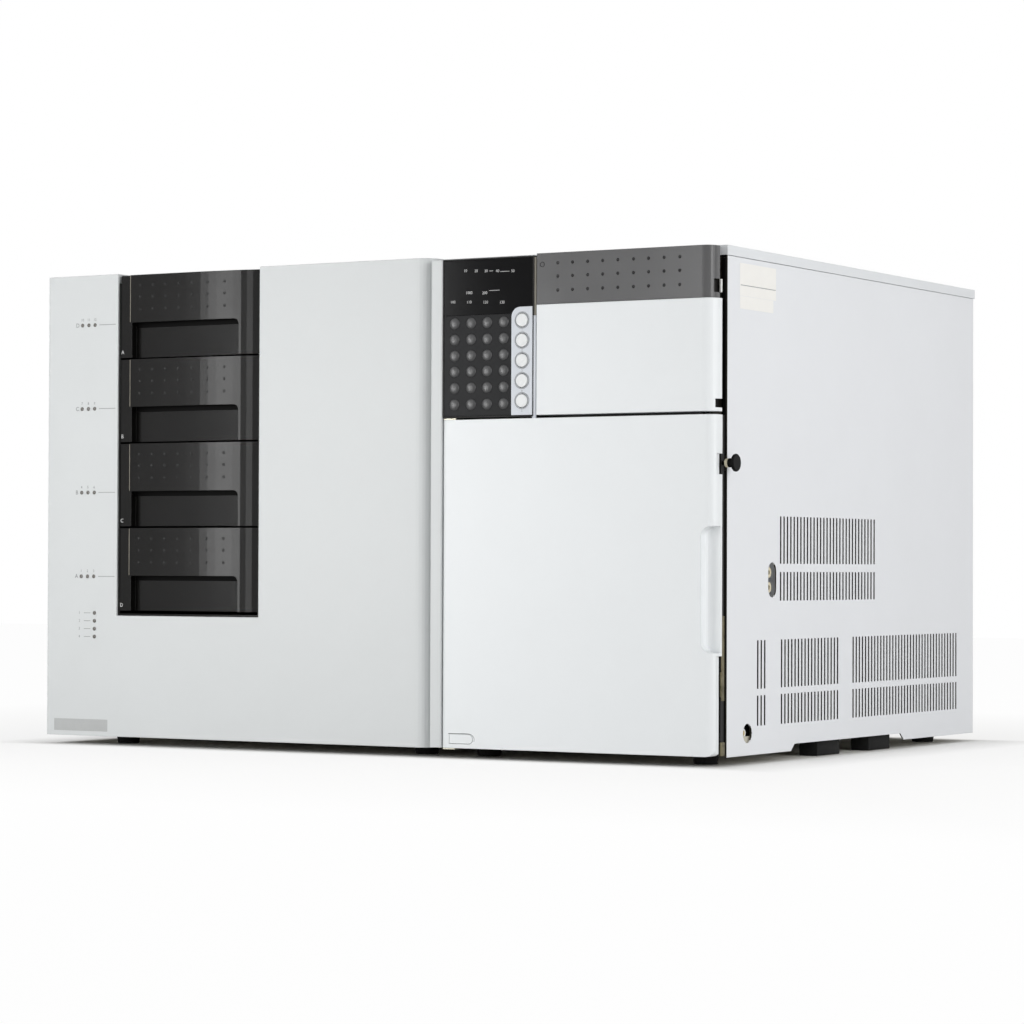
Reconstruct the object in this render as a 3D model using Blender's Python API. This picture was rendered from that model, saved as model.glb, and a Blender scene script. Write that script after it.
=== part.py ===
# A laboratory autosampler with its rack changer, as separate pieces at real size.
# Metres, +Z up, front at -Y. The origin is at the middle of the footprint, on the table.
import math

import bmesh
import bpy
from mathutils import Matrix, Vector

# Whole object
MODULE_WIDTH = 0.2600
RACK_WIDTH = 0.3985
OVERALL_DEPTH = 0.5088
OVERALL_HEIGHT = 0.4073
UNIT_GAP = 0.0005
KNOB_REACH = 0.0112

# Fits
GAP = 0.0003
PIN_RUN = 0.00012
OVERRUN = 0.0040
BOND = 0.0002
MERGE = 0.00002

# Sheet metal casing, the same for both units
SHEET = 0.0012
COVER_SIDE_OVERHANG = 0.0008
COVER_END_OVERHANG = 0.0016
LIP_HEIGHT = 0.0078
SIDE_START = 0.0225
SKIRT_BOTTOM = 0.0070
SIDE_FLANGE = 0.0150
PAN_BOTTOM = 0.0130
PAN_THICKNESS = 0.0015
PAN_FLANGE = 0.0090
NOTCH_START = 0.1134
NOTCH_LENGTH = 0.2204
NOTCH_SLOPE = 0.0069
NOTCH_HEIGHT = 0.0057

# Vent slots: where a group starts behind the side panel's front edge, and where it ends before its rear edge
VENT_WIDTH = 0.0025
VENT_PITCH = 0.00615
UPPER_VENT_START = 0.0928
UPPER_VENT_REST = 0.2100
LOWER_VENT_START = 0.2298
LOWER_VENT_REST = 0.0360
# Short groups ahead of them: start and number of slots
SHORT_VENTS = ((0.0524, 3), (0.0949, 18))
UPPER_ROWS = ((0.1584, 0.1965), (0.1287, 0.1517))
LOWER_ROWS = ((0.0590, 0.0975), (0.0297, 0.0537))
REAR_VENTS = 12
REAR_VENT_PITCH = 0.0100
REAR_VENT_WIDTH = 0.0040
REAR_VENT_ROW = (0.1527, 0.2247)
REAR_VENT_INSET = 0.0740

# Openings in the side panels
OVAL_WIDTH = 0.0143
OVAL_HEIGHT = 0.0283
OVAL_Y = 0.0790
OVAL_Z = 0.1454
ROUND_HOLE_RADIUS = 0.00775
ROUND_HOLE_Y = 0.0358
ROUND_HOLE_Z = 0.0244
PORT_START = 0.0290
PORT_LENGTH = 0.0920
PORT_RISE = 0.0250
PORT_HEIGHT = 0.0500

# Front of the module: sides, bays and cuts are from its left or right side, heights from the door's top seam
FRONT_INSET = 0.0002
FRONT_DEPTH = 0.0130
FRAME_START = 0.0150
FRAME_BACK = 0.0206
FRAME_TOP = 0.1305
FRAME_BOTTOM = 0.0082
TRIM_WIDTH = 0.0107
TRIM_EDGE = 0.0010
SEAM = 0.0005
FRAME_SIDE = 0.0015
BAY_LEFT = 0.0980
BAY_RIGHT = 0.0260
BAY_BOTTOM = 0.0035
BAY_TOP = 0.1235
HINGE_CLEAR = 0.0185
CABLE_LEFT = 0.0260
CABLE_RIGHT = 0.0840
CABLE_BOTTOM = 0.0165
CABLE_TOP = 0.0745

# Sample chamber
CHAMBER_LEFT = 0.0240
CHAMBER_RIGHT = 0.0200
CHAMBER_HEIGHT = 0.1600
CHAMBER_DROP = 0.0115
CHAMBER_BACK = 0.3060
CHAMBER_WALL = 0.0080
CHAMBER_CORNER = 0.0080

# Lower door
DOOR_REACH = 0.0007
DOOR_BOTTOM = 0.0082
UPPER_FRONT_HEIGHT = 0.1331
DOOR_WALL = 0.0025
DOOR_SIDE_WALL = 0.0040
DOOR_EDGE = 0.0080
DOOR_CORNER = 0.0080
DOOR_PIVOT = 0.0040
RECESS_WIDTH = 0.0124
RECESS_BOTTOM = 0.0887
RECESS_TOP = 0.1872
RECESS_DEPTH = 0.0095
RECESS_CORNER = 0.0090
RECESS_FILLET = 0.0060
EDGE_NOTCH = 0.0028
EDGE_NOTCH_START = 0.0050
TUBE_NOTCH_BELOW = 0.0090
TUBE_NOTCH_ABOVE = 0.0070
LINER_START = 0.0070
LINER_SIDE = 0.0058
LINER_RIGHT = 0.0155
LINER_BOTTOM = 0.0267
LINER_DROP = 0.0035
LINER_BACK = 0.0124
SEAL_BACK = 0.0146
SEAL_WIDTH = 0.0060
SEAL_INSET = 0.0010

# Hinges
PIN_RADIUS = 0.0015
DOOR_PIN_LENGTH = 0.0065
BRACKET_THICKNESS = 0.0009
BRACKET_WIDTH = 0.0080
BRACKET_TAB = 0.0130
COVER_PIVOT = 0.0110
ARM_EYE = 0.0034
ARM_SPANS = ((0.0057, 0.0120), (0.0955, 0.1055))
ARM_LUG = 0.0022
ARM_NOTCH = 0.0050

# Upper cover, with heights from the door's top seam
COVER_LEFT = 0.1000
COVER_REACH = 0.0003
COVER_BOTTOM = 0.0025
COVER_TOP = 0.1318
BAND_BOTTOM = 0.0910
COVER_WALL = 0.0025
BAND_INSET = 0.0021

# Control panel, from the module's left side and the door's top seam
PANEL_RIGHT = 0.0968
PANEL_BOTTOM = 0.0015
PANEL_START = 0.0010
OVERLAY_THICKNESS = 0.0012
PANEL_RIM = 0.0010
PANEL_WALL = 0.0020
KEYPAD_RIGHT = 0.0757
KEYPAD_TOP = 0.0845
STRIP_TOP = 0.0898
STRIP_CORNER = 0.0080
DOME_RADIUS = 0.0043
DOME_HEIGHT = 0.0009
DOME_CROWN_SHARE = 0.62
DOME_RISE_SHARE = 0.78
DOME_COLUMNS = 4
DOME_ROWS = 6
DOME_FIRST_X = 0.0224
DOME_PITCH_X = 0.01547
DOME_FIRST_Z = 0.0780
DOME_PITCH_Z = 0.01316
KEY_RADIUS = 0.00545
KEY_HOLE_RADIUS = 0.0060
KEY_FLANGE_RADIUS = 0.0067
KEY_FLANGE = 0.0010
KEY_X = 0.0860
KEY_FIRST_Z = 0.0790
KEY_PITCH = 0.0162
KEY_COUNT = 5
KEY_TRAVEL = 0.0010
KEY_CROWN = 0.0005
BOARD_CONTACT = 0.0010
BOARD_THICKNESS = 0.0016
BOARD_MARGIN = 0.0030

# Power button
POWER_LEFT = 0.0193
POWER_WIDTH = 0.0220
POWER_BOTTOM = 0.0120
POWER_HEIGHT = 0.0075
POWER_DEPTH = 0.0050
POWER_FLANGE = 0.0015

# Side knob
KNOB_DROP = 0.0375
KNOB_Y = 0.0178
KNOB_RADIUS = 0.0070
KNOB_THICKNESS = 0.0026
KNOB_COLLAR_RADIUS = 0.0036
KNOB_COLLAR = 0.0045
KNOB_STEM_RADIUS = 0.0016
KNOB_STEM_START = 0.0140
KNOB_BUSH = 0.0026
KNOB_BUSH_RADIUS = 0.0032
KNOB_RIM = 0.0006

# Fittings on the side
FITTING_RADIUS = 0.0043
FITTING_BORE = 0.0019
FITTING_SPACING = 0.0120
FITTING_END = 0.0030
FITTING_PLATE = 0.0015
FITTING_PLATE_X = 0.0120
FITTING_PLATE_SIZE = 0.0300
DRAIN_RADIUS = 0.0046
DRAIN_BORE = 0.0024
DRAIN_END = 0.0040
DRAIN_START = 0.0230
DRAIN_FOOT = 0.0060

# Feet
FOOT_RADIUS = 0.0105
FOOT_TAPER = 0.0015
FOOT_INSET_X = 0.0300
FOOT_INSET_FRONT = 0.0450
FOOT_INSET_REAR = 0.0450
RACK_FOOT_LEFT = 0.0585
PAD_STARTS = (0.1970, 0.2970)
PAD_LENGTH = 0.0425
PAD_WIDTH = 0.0160
PAD_INSET = 0.0060

# Sample rack and needle gantry
RACK_PLATE_START = 0.0240
RACK_PLATE_END = 0.2000
RACK_PLATE_THICKNESS = 0.0030
NEST_START = 0.0320
TROUGH_WIDTH = 0.0465
TROUGH_LENGTH = 0.1050
TROUGH_HEIGHT = 0.0200
TROUGH_WALL = 0.0040
NEST_RIM = 0.0030
NEST_HEIGHT = 0.0060
NEST_LENGTH = 0.1290
NEST_DEPTH = 0.0865
PORT_CUP_RADIUS = 0.0070
PORT_CUP_BORE = 0.0038
PORT_CUP_HEIGHT = 0.0300
RAIL_DEPTH = 0.0100
RAIL_HEIGHT = 0.0120
RAIL_GROOVE = 0.0020
SLIDE_X = 0.0910
SLIDE_WIDTH = 0.0240
SLIDE_WALL = 0.0060
BEAM_SIZE = 0.0120
BEAM_DROP = 0.0340
BEAM_START = 0.0440
CARRIAGE_SIZE = 0.0240
CARRIAGE_Y = 0.2150
HEAD_WIDTH = 0.0100
HEAD_DEPTH = 0.0160
HEAD_BELOW = 0.0310
HEAD_ABOVE = 0.0140
NEEDLE_RADIUS = 0.0008
NEEDLE_LENGTH = 0.0350
NEEDLE_POINT = 0.0016

# Injection valve and metering pump, behind the upper cover
DECK_START = 0.1000
DECK_THICKNESS = 0.0020
DECK_LEFT = 0.1020
DECK_RIGHT = 0.0220
DECK_TOP = 0.1185
DECK_FOOT = 0.0300
VALVE_SHARE = 0.28
VALVE_Z = 0.0635
VALVE_RADIUS = 0.0180
VALVE_FACE = 0.0150
VALVE_LENGTH = 0.0380
VALVE_FACE_LENGTH = 0.0100
FITTING_CIRCLE = 0.0095
VALVE_FITTING = 0.0025
VALVE_FITTING_LENGTH = 0.0060
VALVE_PORTS = 6
PUMP_WIDTH = 0.0320
PUMP_HEIGHT = 0.0520
PUMP_LENGTH = 0.0300
PUMP_HEAD_RADIUS = 0.0110
PUMP_HEAD_LENGTH = 0.0120

# Cooling and power
SINK_WIDTH = 0.1200
SINK_RISE = 0.0400
SINK_HEIGHT = 0.0920
SINK_BASE = 0.0060
SINK_FIN = 0.0400
SINK_FINS = 13
SINK_FIN_THICKNESS = 0.0020
FAN_SIZE = 0.0920
FAN_DEPTH = 0.0250
FAN_BORE = 0.0430
FAN_TIP = 0.0415
FAN_HUB = 0.0180
FAN_BLADES = 7
FAN_BLADE_THICKNESS = 0.0016
FAN_BLADE_DEPTH = 0.0170
FAN_BLADE_TWIST = 35.0
FAN_STRUT = 0.0040
SUPPLY_LEFT = 0.0120
SUPPLY_WIDTH = 0.1000
SUPPLY_LENGTH = 0.1260
SUPPLY_HEIGHT = 0.0600
INLET_LEFT = 0.0300
INLET_WIDTH = 0.0280
INLET_HEIGHT = 0.0200
INLET_Z = 0.0447
INLET_WELL = 0.0160
INLET_WALL = 0.0022
BLADE_WIDTH = 0.0020
BLADE_SPACING = 0.0070

# Rack changer front
BEZEL_START = 0.0015
BEZEL_BACK = 0.0206
BEZEL_BOTTOM = 0.0075
BEZEL_WALL = 0.0030
BEZEL_EDGE = 0.0140
BEZEL_LEFT_EDGE = 0.0030
WINDOW_LEFT = 0.0780
WINDOW_WIDTH = 0.1495
WINDOW_BOTTOM = 0.1119
BAY_WALL = 0.0015
BAY_START = 0.0030
BAY_DEPTH = 0.3350
POST_LENGTH = 0.0140
RUNNER_WIDTH = 0.0046
RUNNER_HEIGHT = 0.0070
RUNNER_Z = 0.0080

# Drawers
DRAWERS = ("a", "b", "c", "d")
DRAWER_REVEAL = 0.0016
DRAWER_CLEAR = 0.0010
DRAWER_SEAM = 0.0015
DRAWER_SIDE_GAP = 0.0004
DRAWER_BASE = 0.0095
DRAWER_BASE_THICKNESS = 0.0030
HOOD_LEFT = 0.0115
MARGIN_DEPTH = 0.0030
HOOD_DROP = 0.0410
SCOOP_RIGHT = 0.0210
SCOOP_CORNER = 0.0045
HOOD_LIP = 0.0030
HOOD_POCKET = 0.0110
HOOD_PROUD = 0.0085
POCKET_SHARE = 0.3
TRAY_START = 0.0130
TRAY_WIDTH = 0.1320
TRAY_LENGTH = 0.2700
TRAY_SHEET = 0.0012
TRAY_BOTTOM = 0.0040
TRAY_FLANGE = 0.0044
TRAY_TAIL = 0.3200
TRAY_RIB = 0.0020
TRAY_RIB_HEIGHT = 0.0060
TRAY_BAYS = 3
FRONT_WALL = 0.0300

# Indicator lenses
LENS_RADIUS = 0.0013
LENS_HOLE = 0.0016
LENS_LENGTH = 0.0050
LENS_DROP = 0.0417
LENS_X = (0.0393, 0.0462, 0.0530)
LAMP_MARGIN = 0.0060
LAMP_BOARD = 0.0016
STATUS_X = 0.0540
STATUS_FIRST_Z = 0.1140
STATUS_PITCH = 0.00683
STATUS_COUNT = 4

# Elevator
ELEVATOR_RODS = (0.0300, 0.1400)
ELEVATOR_ROD_Y = 0.3560
ELEVATOR_ROD_RADIUS = 0.0050
ELEVATOR_ROD_BORE = 0.0055
ELEVATOR_BASE_TOP = 0.0627
ELEVATOR_BASE_THICKNESS = 0.0040
ELEVATOR_HEADROOM = 0.0065
ELEVATOR_TOP_THICKNESS = 0.0050
ELEVATOR_MARGIN = 0.0120
ELEVATOR_BLOCK_DEPTH = 0.0240
ELEVATOR_BLOCK_BOTTOM = 0.1207
ELEVATOR_BLOCK_TOP = 0.1627
TABLE_WIDTH = 0.0500
TABLE_START = 0.0360
TABLE_THICKNESS = 0.0050
TABLE_TOP = 0.1447
SHUTTLE_WIDTH = 0.0640
SHUTTLE_LENGTH = 0.0600
SHUTTLE_THICKNESS = 0.0050
SHUTTLE_SKIRT = 0.0070
SHUTTLE_Y = 0.0750
SHUTTLE_GUIDE = 0.0035
SHUTTLE_GUIDE_HEIGHT = 0.0060
ARM_LENGTH = 0.1480
ARM_PLATE_WIDTH = 0.0400
ARM_PLATE_THICKNESS = 0.0045
ARM_TAB = 0.0040
ARM_TAB_HEIGHT = 0.0050
ARM_SLOT_INSET = 0.0120
ARM_SLOT_SHARE = 0.3

# Facets round a circle
ROUND = 16
SMALL_ROUND = 16
TINY_ROUND = 8

# Places that follow from the sizes
OVERALL_WIDTH = RACK_WIDTH + UNIT_GAP + MODULE_WIDTH + KNOB_REACH
FRONT = -OVERALL_DEPTH / 2
REAR = OVERALL_DEPTH / 2
RACK_LEFT = -OVERALL_WIDTH / 2
RACK_RIGHT = RACK_LEFT + RACK_WIDTH
MODULE_LEFT = RACK_RIGHT + UNIT_GAP
MODULE_RIGHT = MODULE_LEFT + MODULE_WIDTH
SIDE_FRONT = FRONT + SIDE_START
SIDE_REAR = REAR - COVER_END_OVERHANG
SIDE_TOP = OVERALL_HEIGHT - LIP_HEIGHT - GAP
SEAM_Z = OVERALL_HEIGHT - UPPER_FRONT_HEIGHT
DOOR_TOP = SEAM_Z
LINER_TOP = SEAM_Z - LINER_DROP
KNOB_Z = SEAM_Z - KNOB_DROP
CHAMBER_TOP = SEAM_Z - CHAMBER_DROP
CHAMBER_BOTTOM = CHAMBER_TOP - CHAMBER_HEIGHT
PORT_BOTTOM = CHAMBER_BOTTOM + PORT_RISE
BEAM_Z = CHAMBER_TOP - BEAM_DROP
HEAD_BOTTOM = BEAM_Z - HEAD_BELOW
HEAD_TOP = BEAM_Z + HEAD_ABOVE
SINK_BOTTOM = CHAMBER_BOTTOM + SINK_RISE
SINK_TOP = SINK_BOTTOM + SINK_HEIGHT
DRAWER_TOP = OVERALL_HEIGHT - DRAWER_REVEAL
DRAWER_PITCH = (DRAWER_TOP - DRAWER_CLEAR - WINDOW_BOTTOM - GAP - BAY_WALL) / len(DRAWERS)
ELEVATOR_TOP = SIDE_TOP - ELEVATOR_HEADROOM
DOOR_LEFT = MODULE_LEFT + TRIM_WIDTH + SEAM
DOOR_RIGHT = MODULE_RIGHT + DOOR_REACH
COVER_RIGHT = MODULE_RIGHT + COVER_REACH
FACE = FRONT + FRONT_INSET
WINDOW_X = RACK_LEFT + WINDOW_LEFT
WINDOW_END = WINDOW_X + WINDOW_WIDTH
DRAWER_LEFT = WINDOW_X + BAY_WALL + GAP + DRAWER_SIDE_GAP
DRAWER_RIGHT = WINDOW_END - BAY_WALL - GAP - DRAWER_SIDE_GAP
TRAY_LEFT = (DRAWER_LEFT + DRAWER_RIGHT - TRAY_WIDTH) / 2
TRAY_RIGHT = TRAY_LEFT + TRAY_WIDTH


def module_x(offset):
    """A place that far left of the module's right side."""
    return MODULE_RIGHT - offset


def left_x(offset):
    """A place that far right of the module's left side."""
    return MODULE_LEFT + offset


def depth(offset):
    """A place that far behind the front."""
    return FRONT + offset


def above(offset):
    """A height above the seam between the lower door and the upper front."""
    return SEAM_Z + offset


def clear_scene():
    for old in list(bpy.data.objects):
        bpy.data.objects.remove(old, do_unlink=True)


def material(name, colour, roughness, metallic=0.0):
    made = bpy.data.materials.new(name)
    made.use_nodes = True
    shader = made.node_tree.nodes["Principled BSDF"]
    shader.inputs["Base Color"].default_value = (*colour, 1.0)
    shader.inputs["Roughness"].default_value = roughness
    shader.inputs["Metallic"].default_value = metallic
    made.diffuse_color = (*colour, 1.0)
    return made


def at(axis, u, v, w):
    """The point whose outline coordinates are u and v and whose place along the axis is w."""
    if axis == "X":
        return Vector((w, u, v))
    if axis == "Y":
        return Vector((u, w, v))
    return Vector((u, v, w))


def to_object(shape):
    bmesh.ops.recalc_face_normals(shape, faces=shape.faces[:])
    mesh = bpy.data.meshes.new("shape")
    shape.to_mesh(mesh)
    shape.free()
    made = bpy.data.objects.new("shape", mesh)
    bpy.context.scene.collection.objects.link(made)
    return made


def block(x, y, z):
    """A box between two places along each axis."""
    shape = bmesh.new()
    bmesh.ops.create_cube(shape, size=1.0)
    low = Vector((x[0], y[0], z[0]))
    high = Vector((x[1], y[1], z[1]))
    bmesh.ops.scale(shape, vec=high - low, verts=shape.verts[:])
    bmesh.ops.translate(shape, vec=(low + high) / 2, verts=shape.verts[:])
    return to_object(shape)


def extrude(outline, axis, low, high, holes=()):
    """A flat outline with its holes, extruded along the axis."""
    shape = bmesh.new()
    for loop in (outline, *holes):
        corners = [shape.verts.new(at(axis, u, v, low)) for u, v in loop]
        for here, there in zip(corners, corners[1:] + corners[:1]):
            shape.edges.new((here, there))
    if holes:
        bmesh.ops.triangle_fill(shape, use_beauty=True, edges=shape.edges[:])
    else:
        shape.faces.new(shape.verts[:])
    made = bmesh.ops.extrude_face_region(shape, geom=shape.faces[:])
    moved = [item for item in made["geom"] if isinstance(item, bmesh.types.BMVert)]
    bmesh.ops.translate(shape, verts=moved, vec=at(axis, 0, 0, high - low))
    return to_object(shape)


def turned(profile, axis, centre, sides):
    """A profile of (radius, place along the axis) points, spun round the axis."""
    shape = bmesh.new()
    corners = [shape.verts.new(at(axis, centre[0] + r, centre[1], w)) for r, w in profile]
    for here, there in zip(corners, corners[1:]):
        shape.edges.new((here, there))
    bmesh.ops.spin(
        shape,
        geom=shape.verts[:] + shape.edges[:],
        cent=at(axis, centre[0], centre[1], 0),
        axis=at(axis, 0, 0, 1),
        angle=math.tau,
        steps=sides,
        use_merge=True,
    )
    bmesh.ops.remove_doubles(shape, verts=shape.verts[:], dist=MERGE)
    return to_object(shape)


def rod(axis, centre, radius, low, high, sides=SMALL_ROUND):
    return extrude(circle(centre, radius, sides), axis, low, high)


def arc(centre, radius, start, end, steps):
    """Points on an arc, with its angles in degrees."""
    points = []
    for step in range(steps + 1):
        angle = math.radians(start + (end - start) * step / steps)
        points.append((centre[0] + radius * math.cos(angle), centre[1] + radius * math.sin(angle)))
    return points


def rounded(u, v, radii=(0, 0, 0, 0), steps=5):
    """A rectangle whose corners have these radii: low-low, high-low, high-high, low-high."""
    places = ((u[0], v[0], 180), (u[1], v[0], 270), (u[1], v[1], 0), (u[0], v[1], 90))
    inward = ((1, 1), (-1, 1), (-1, -1), (1, -1))
    points = []
    for (a, b, start), (du, dv), radius in zip(places, inward, radii):
        if radius:
            points += arc((a + du * radius, b + dv * radius), radius, start, start + 90, steps)
        else:
            points.append((a, b))
    return points


def circle(centre, radius, sides):
    return arc(centre, radius, 0, 360, sides)[:-1]


def boolean(target, others, operation):
    for other in others:
        modifier = target.modifiers.new("joint", "BOOLEAN")
        modifier.operation = operation
        modifier.object = other
    graph = bpy.context.evaluated_depsgraph_get()
    mesh = bpy.data.meshes.new_from_object(target.evaluated_get(graph))
    target.modifiers.clear()
    target.data = mesh
    for other in others:
        bpy.data.objects.remove(other, do_unlink=True)
    return target


def cut(target, *cutters):
    return boolean(target, cutters, "DIFFERENCE")


def weld(target, *others):
    return boolean(target, others, "UNION")


def together(*pieces):
    """Separate solids kept side by side in one object."""
    shape = bmesh.new()
    for piece in pieces:
        shape.from_mesh(piece.data)
        bpy.data.objects.remove(piece, do_unlink=True)
    return to_object(shape)


def finish(piece, name, surface, carrier=None, smooth=30.0):
    piece.name = name
    piece.data.name = name
    piece.data.materials.clear()
    piece.data.materials.append(surface)
    piece.data.shade_smooth()
    piece.data.set_sharp_from_angle(angle=math.radians(smooth))
    if carrier:
        piece.parent = carrier
        piece.matrix_parent_inverse = carrier.matrix_world.inverted()
    return piece


def pivot(name, place, carrier=None):
    """An empty on a joint's axis, which carries the pieces that move with it."""
    made = bpy.data.objects.new(name, None)
    bpy.context.scene.collection.objects.link(made)
    made.location = place
    bpy.context.view_layer.update()
    if carrier:
        made.parent = carrier
        made.matrix_parent_inverse = carrier.matrix_world.inverted()
    bpy.context.view_layer.update()
    return made


def slots(groups, rows, start, width, pitch):
    """Outlines of upright vent slots, as holes for a panel."""
    holes = []
    for first, count in groups:
        for low, high in rows:
            for index in range(count):
                u = start + first + index * pitch
                holes.append(rounded((u, u + width), (low, high)))
    return holes


def slot_count(start, rest):
    """How many side vents fit behind that start and leave that rest of the panel plain."""
    room = SIDE_REAR - SIDE_FRONT - start - rest - VENT_WIDTH
    return int(room / VENT_PITCH) + 1


def side_outline():
    """A side panel's outline, with the long notch in its bottom edge."""
    start = SIDE_FRONT + NOTCH_START
    end = start + NOTCH_LENGTH
    top = SKIRT_BOTTOM + NOTCH_HEIGHT
    return [
        (SIDE_FRONT, SKIRT_BOTTOM),
        (start, SKIRT_BOTTOM),
        (start + NOTCH_SLOPE, top),
        (end - NOTCH_SLOPE, top),
        (end, SKIRT_BOTTOM),
        (SIDE_REAR, SKIRT_BOTTOM),
        (SIDE_REAR, SIDE_TOP),
        (SIDE_FRONT, SIDE_TOP),
    ]


def side_panel(outer, inward, holes):
    """A sheet side panel with a flange bent inwards along its front edge."""
    low, high = sorted((outer, outer + inward * SHEET))
    panel = extrude(side_outline(), "X", low, high, holes)
    flange_x = sorted((outer + inward * BOND, outer + inward * SIDE_FLANGE))
    flange = block(flange_x, (SIDE_FRONT, SIDE_FRONT + SHEET), (SKIRT_BOTTOM + SHEET, SIDE_TOP - SHEET))
    return weld(panel, flange)


def port_hole():
    return rounded(
        (depth(PORT_START), depth(PORT_START + PORT_LENGTH)),
        (PORT_BOTTOM, PORT_BOTTOM + PORT_HEIGHT),
    )


def chassis(left, right, holes, foot_columns, pads=()):
    """A base pan with low flanges on its feet, and a rear wall that stands on it."""
    x = (left + SHEET + GAP, right - SHEET - GAP)
    front = SIDE_FRONT + SHEET + GAP
    wall_rear = SIDE_REAR - SHEET
    wall_front = wall_rear - SHEET
    top = PAN_BOTTOM + PAN_THICKNESS
    flange = PAN_BOTTOM + PAN_FLANGE
    pan = extrude(
        [
            (x[0], PAN_BOTTOM),
            (x[1], PAN_BOTTOM),
            (x[1], flange),
            (x[1] - PAN_THICKNESS, flange),
            (x[1] - PAN_THICKNESS, top),
            (x[0] + PAN_THICKNESS, top),
            (x[0] + PAN_THICKNESS, flange),
            (x[0], flange),
        ],
        "Y",
        front,
        wall_front + BOND,
    )
    rear = extrude(rounded(x, (PAN_BOTTOM, SIDE_TOP)), "Y", wall_front, wall_rear, holes)
    foot = [(0, 0), (FOOT_RADIUS - FOOT_TAPER, 0), (FOOT_RADIUS, PAN_BOTTOM + BOND), (0, PAN_BOTTOM + BOND)]
    rows = (depth(FOOT_INSET_FRONT), REAR - FOOT_INSET_REAR)
    feet = [turned(foot, "Z", (column, row), SMALL_ROUND) for column in foot_columns for row in rows]
    feet += [
        block((u, u + PAD_WIDTH), (depth(start), depth(start + PAD_LENGTH)), (0, PAN_BOTTOM + BOND))
        for u in pads
        for start in PAD_STARTS
    ]
    return weld(pan, rear, *feet)


def top_cover(left, right):
    """A lid with its lip folded down all round."""
    y = (SIDE_FRONT - COVER_END_OVERHANG, REAR)
    bottom = OVERALL_HEIGHT - LIP_HEIGHT
    lid = block((left, right), y, (bottom, OVERALL_HEIGHT))
    inside = block(
        (left + SHEET, right - SHEET),
        (y[0] + SHEET, y[1] - SHEET),
        (bottom - OVERRUN, OVERALL_HEIGHT - SHEET),
    )
    return cut(lid, inside)


def module_casing(white, zinc):
    port = [port_hole()]
    oval_y = SIDE_FRONT + OVAL_Y
    half = OVAL_WIDTH / 2
    straight = (OVAL_HEIGHT - OVAL_WIDTH) / 2
    oval = arc((oval_y, OVAL_Z - straight), half, 180, 360, 8)
    oval += arc((oval_y, OVAL_Z + straight), half, 0, 180, 8)
    round_hole = circle((SIDE_FRONT + ROUND_HOLE_Y, ROUND_HOLE_Z), ROUND_HOLE_RADIUS, SMALL_ROUND)
    upper = (UPPER_VENT_START, slot_count(UPPER_VENT_START, UPPER_VENT_REST))
    lower = (LOWER_VENT_START, slot_count(LOWER_VENT_START, LOWER_VENT_REST))
    vents = slots([upper], UPPER_ROWS, SIDE_FRONT, VENT_WIDTH, VENT_PITCH)
    vents += slots([*SHORT_VENTS, lower], LOWER_ROWS, SIDE_FRONT, VENT_WIDTH, VENT_PITCH)
    finish(side_panel(MODULE_RIGHT, -1, [oval, round_hole, *vents]), "module_right_panel", white)
    finish(side_panel(MODULE_LEFT, 1, port), "module_left_panel", white)
    inlet_x = left_x(INLET_LEFT)
    inlet_z = (INLET_Z - INLET_HEIGHT / 2, INLET_Z + INLET_HEIGHT / 2)
    inlet = rounded((inlet_x, inlet_x + INLET_WIDTH), inlet_z)
    rear = slots(
        [(REAR_VENT_INSET, REAR_VENTS)], [REAR_VENT_ROW], MODULE_LEFT, REAR_VENT_WIDTH, REAR_VENT_PITCH
    )
    columns = (MODULE_LEFT + FOOT_INSET_X, MODULE_RIGHT - FOOT_INSET_X)
    pads = (MODULE_LEFT + PAD_INSET, MODULE_RIGHT - PAD_INSET - PAD_WIDTH)
    body = chassis(MODULE_LEFT, MODULE_RIGHT, [inlet, *rear], columns, pads)
    finish(body, "module_chassis", zinc)
    finish(top_cover(MODULE_LEFT, MODULE_RIGHT + COVER_SIDE_OVERHANG), "module_top_cover", white)


def front_frame(dark):
    """The frame behind the doors: chamber opening, upper bay and cable opening."""
    x = (MODULE_LEFT + FRAME_SIDE, MODULE_RIGHT - FRAME_SIDE)
    y = (depth(FRAME_START), depth(FRAME_BACK))
    corner = (CHAMBER_CORNER,) * 4
    chamber = rounded(
        (left_x(CHAMBER_LEFT + CHAMBER_WALL), module_x(CHAMBER_RIGHT + CHAMBER_WALL)),
        (CHAMBER_BOTTOM + CHAMBER_WALL, CHAMBER_TOP - CHAMBER_WALL),
        corner,
    )
    bay = rounded((left_x(BAY_LEFT), module_x(BAY_RIGHT)), (above(BAY_BOTTOM), above(BAY_TOP)))
    cable = rounded((left_x(CABLE_LEFT), left_x(CABLE_RIGHT)), (above(CABLE_BOTTOM), above(CABLE_TOP)))
    frame = extrude(rounded(x, (FRAME_BOTTOM, above(FRAME_TOP))), "Y", y[0], y[1], [chamber, bay, cable])
    hinge_room = block(
        (module_x(HINGE_CLEAR), MODULE_RIGHT + OVERRUN),
        (y[0] - OVERRUN, y[1] + OVERRUN),
        (DOOR_TOP, above(FRAME_TOP) + OVERRUN),
    )
    knob = rod(
        "X",
        (depth(KNOB_Y), KNOB_Z),
        KNOB_STEM_RADIUS + GAP,
        module_x(KNOB_STEM_START),
        MODULE_RIGHT + OVERRUN,
    )
    return finish(cut(frame, hinge_room, knob), "front_frame", dark)


def left_trim(white):
    x = (MODULE_LEFT, MODULE_LEFT + TRIM_WIDTH)
    y = (FACE, depth(FRAME_START) - GAP)
    column = extrude(rounded(x, y, (TRIM_EDGE, TRIM_EDGE, 0, 0), 2), "Z", FRAME_BOTTOM, above(FRAME_TOP))
    return finish(column, "left_trim", white)


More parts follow.
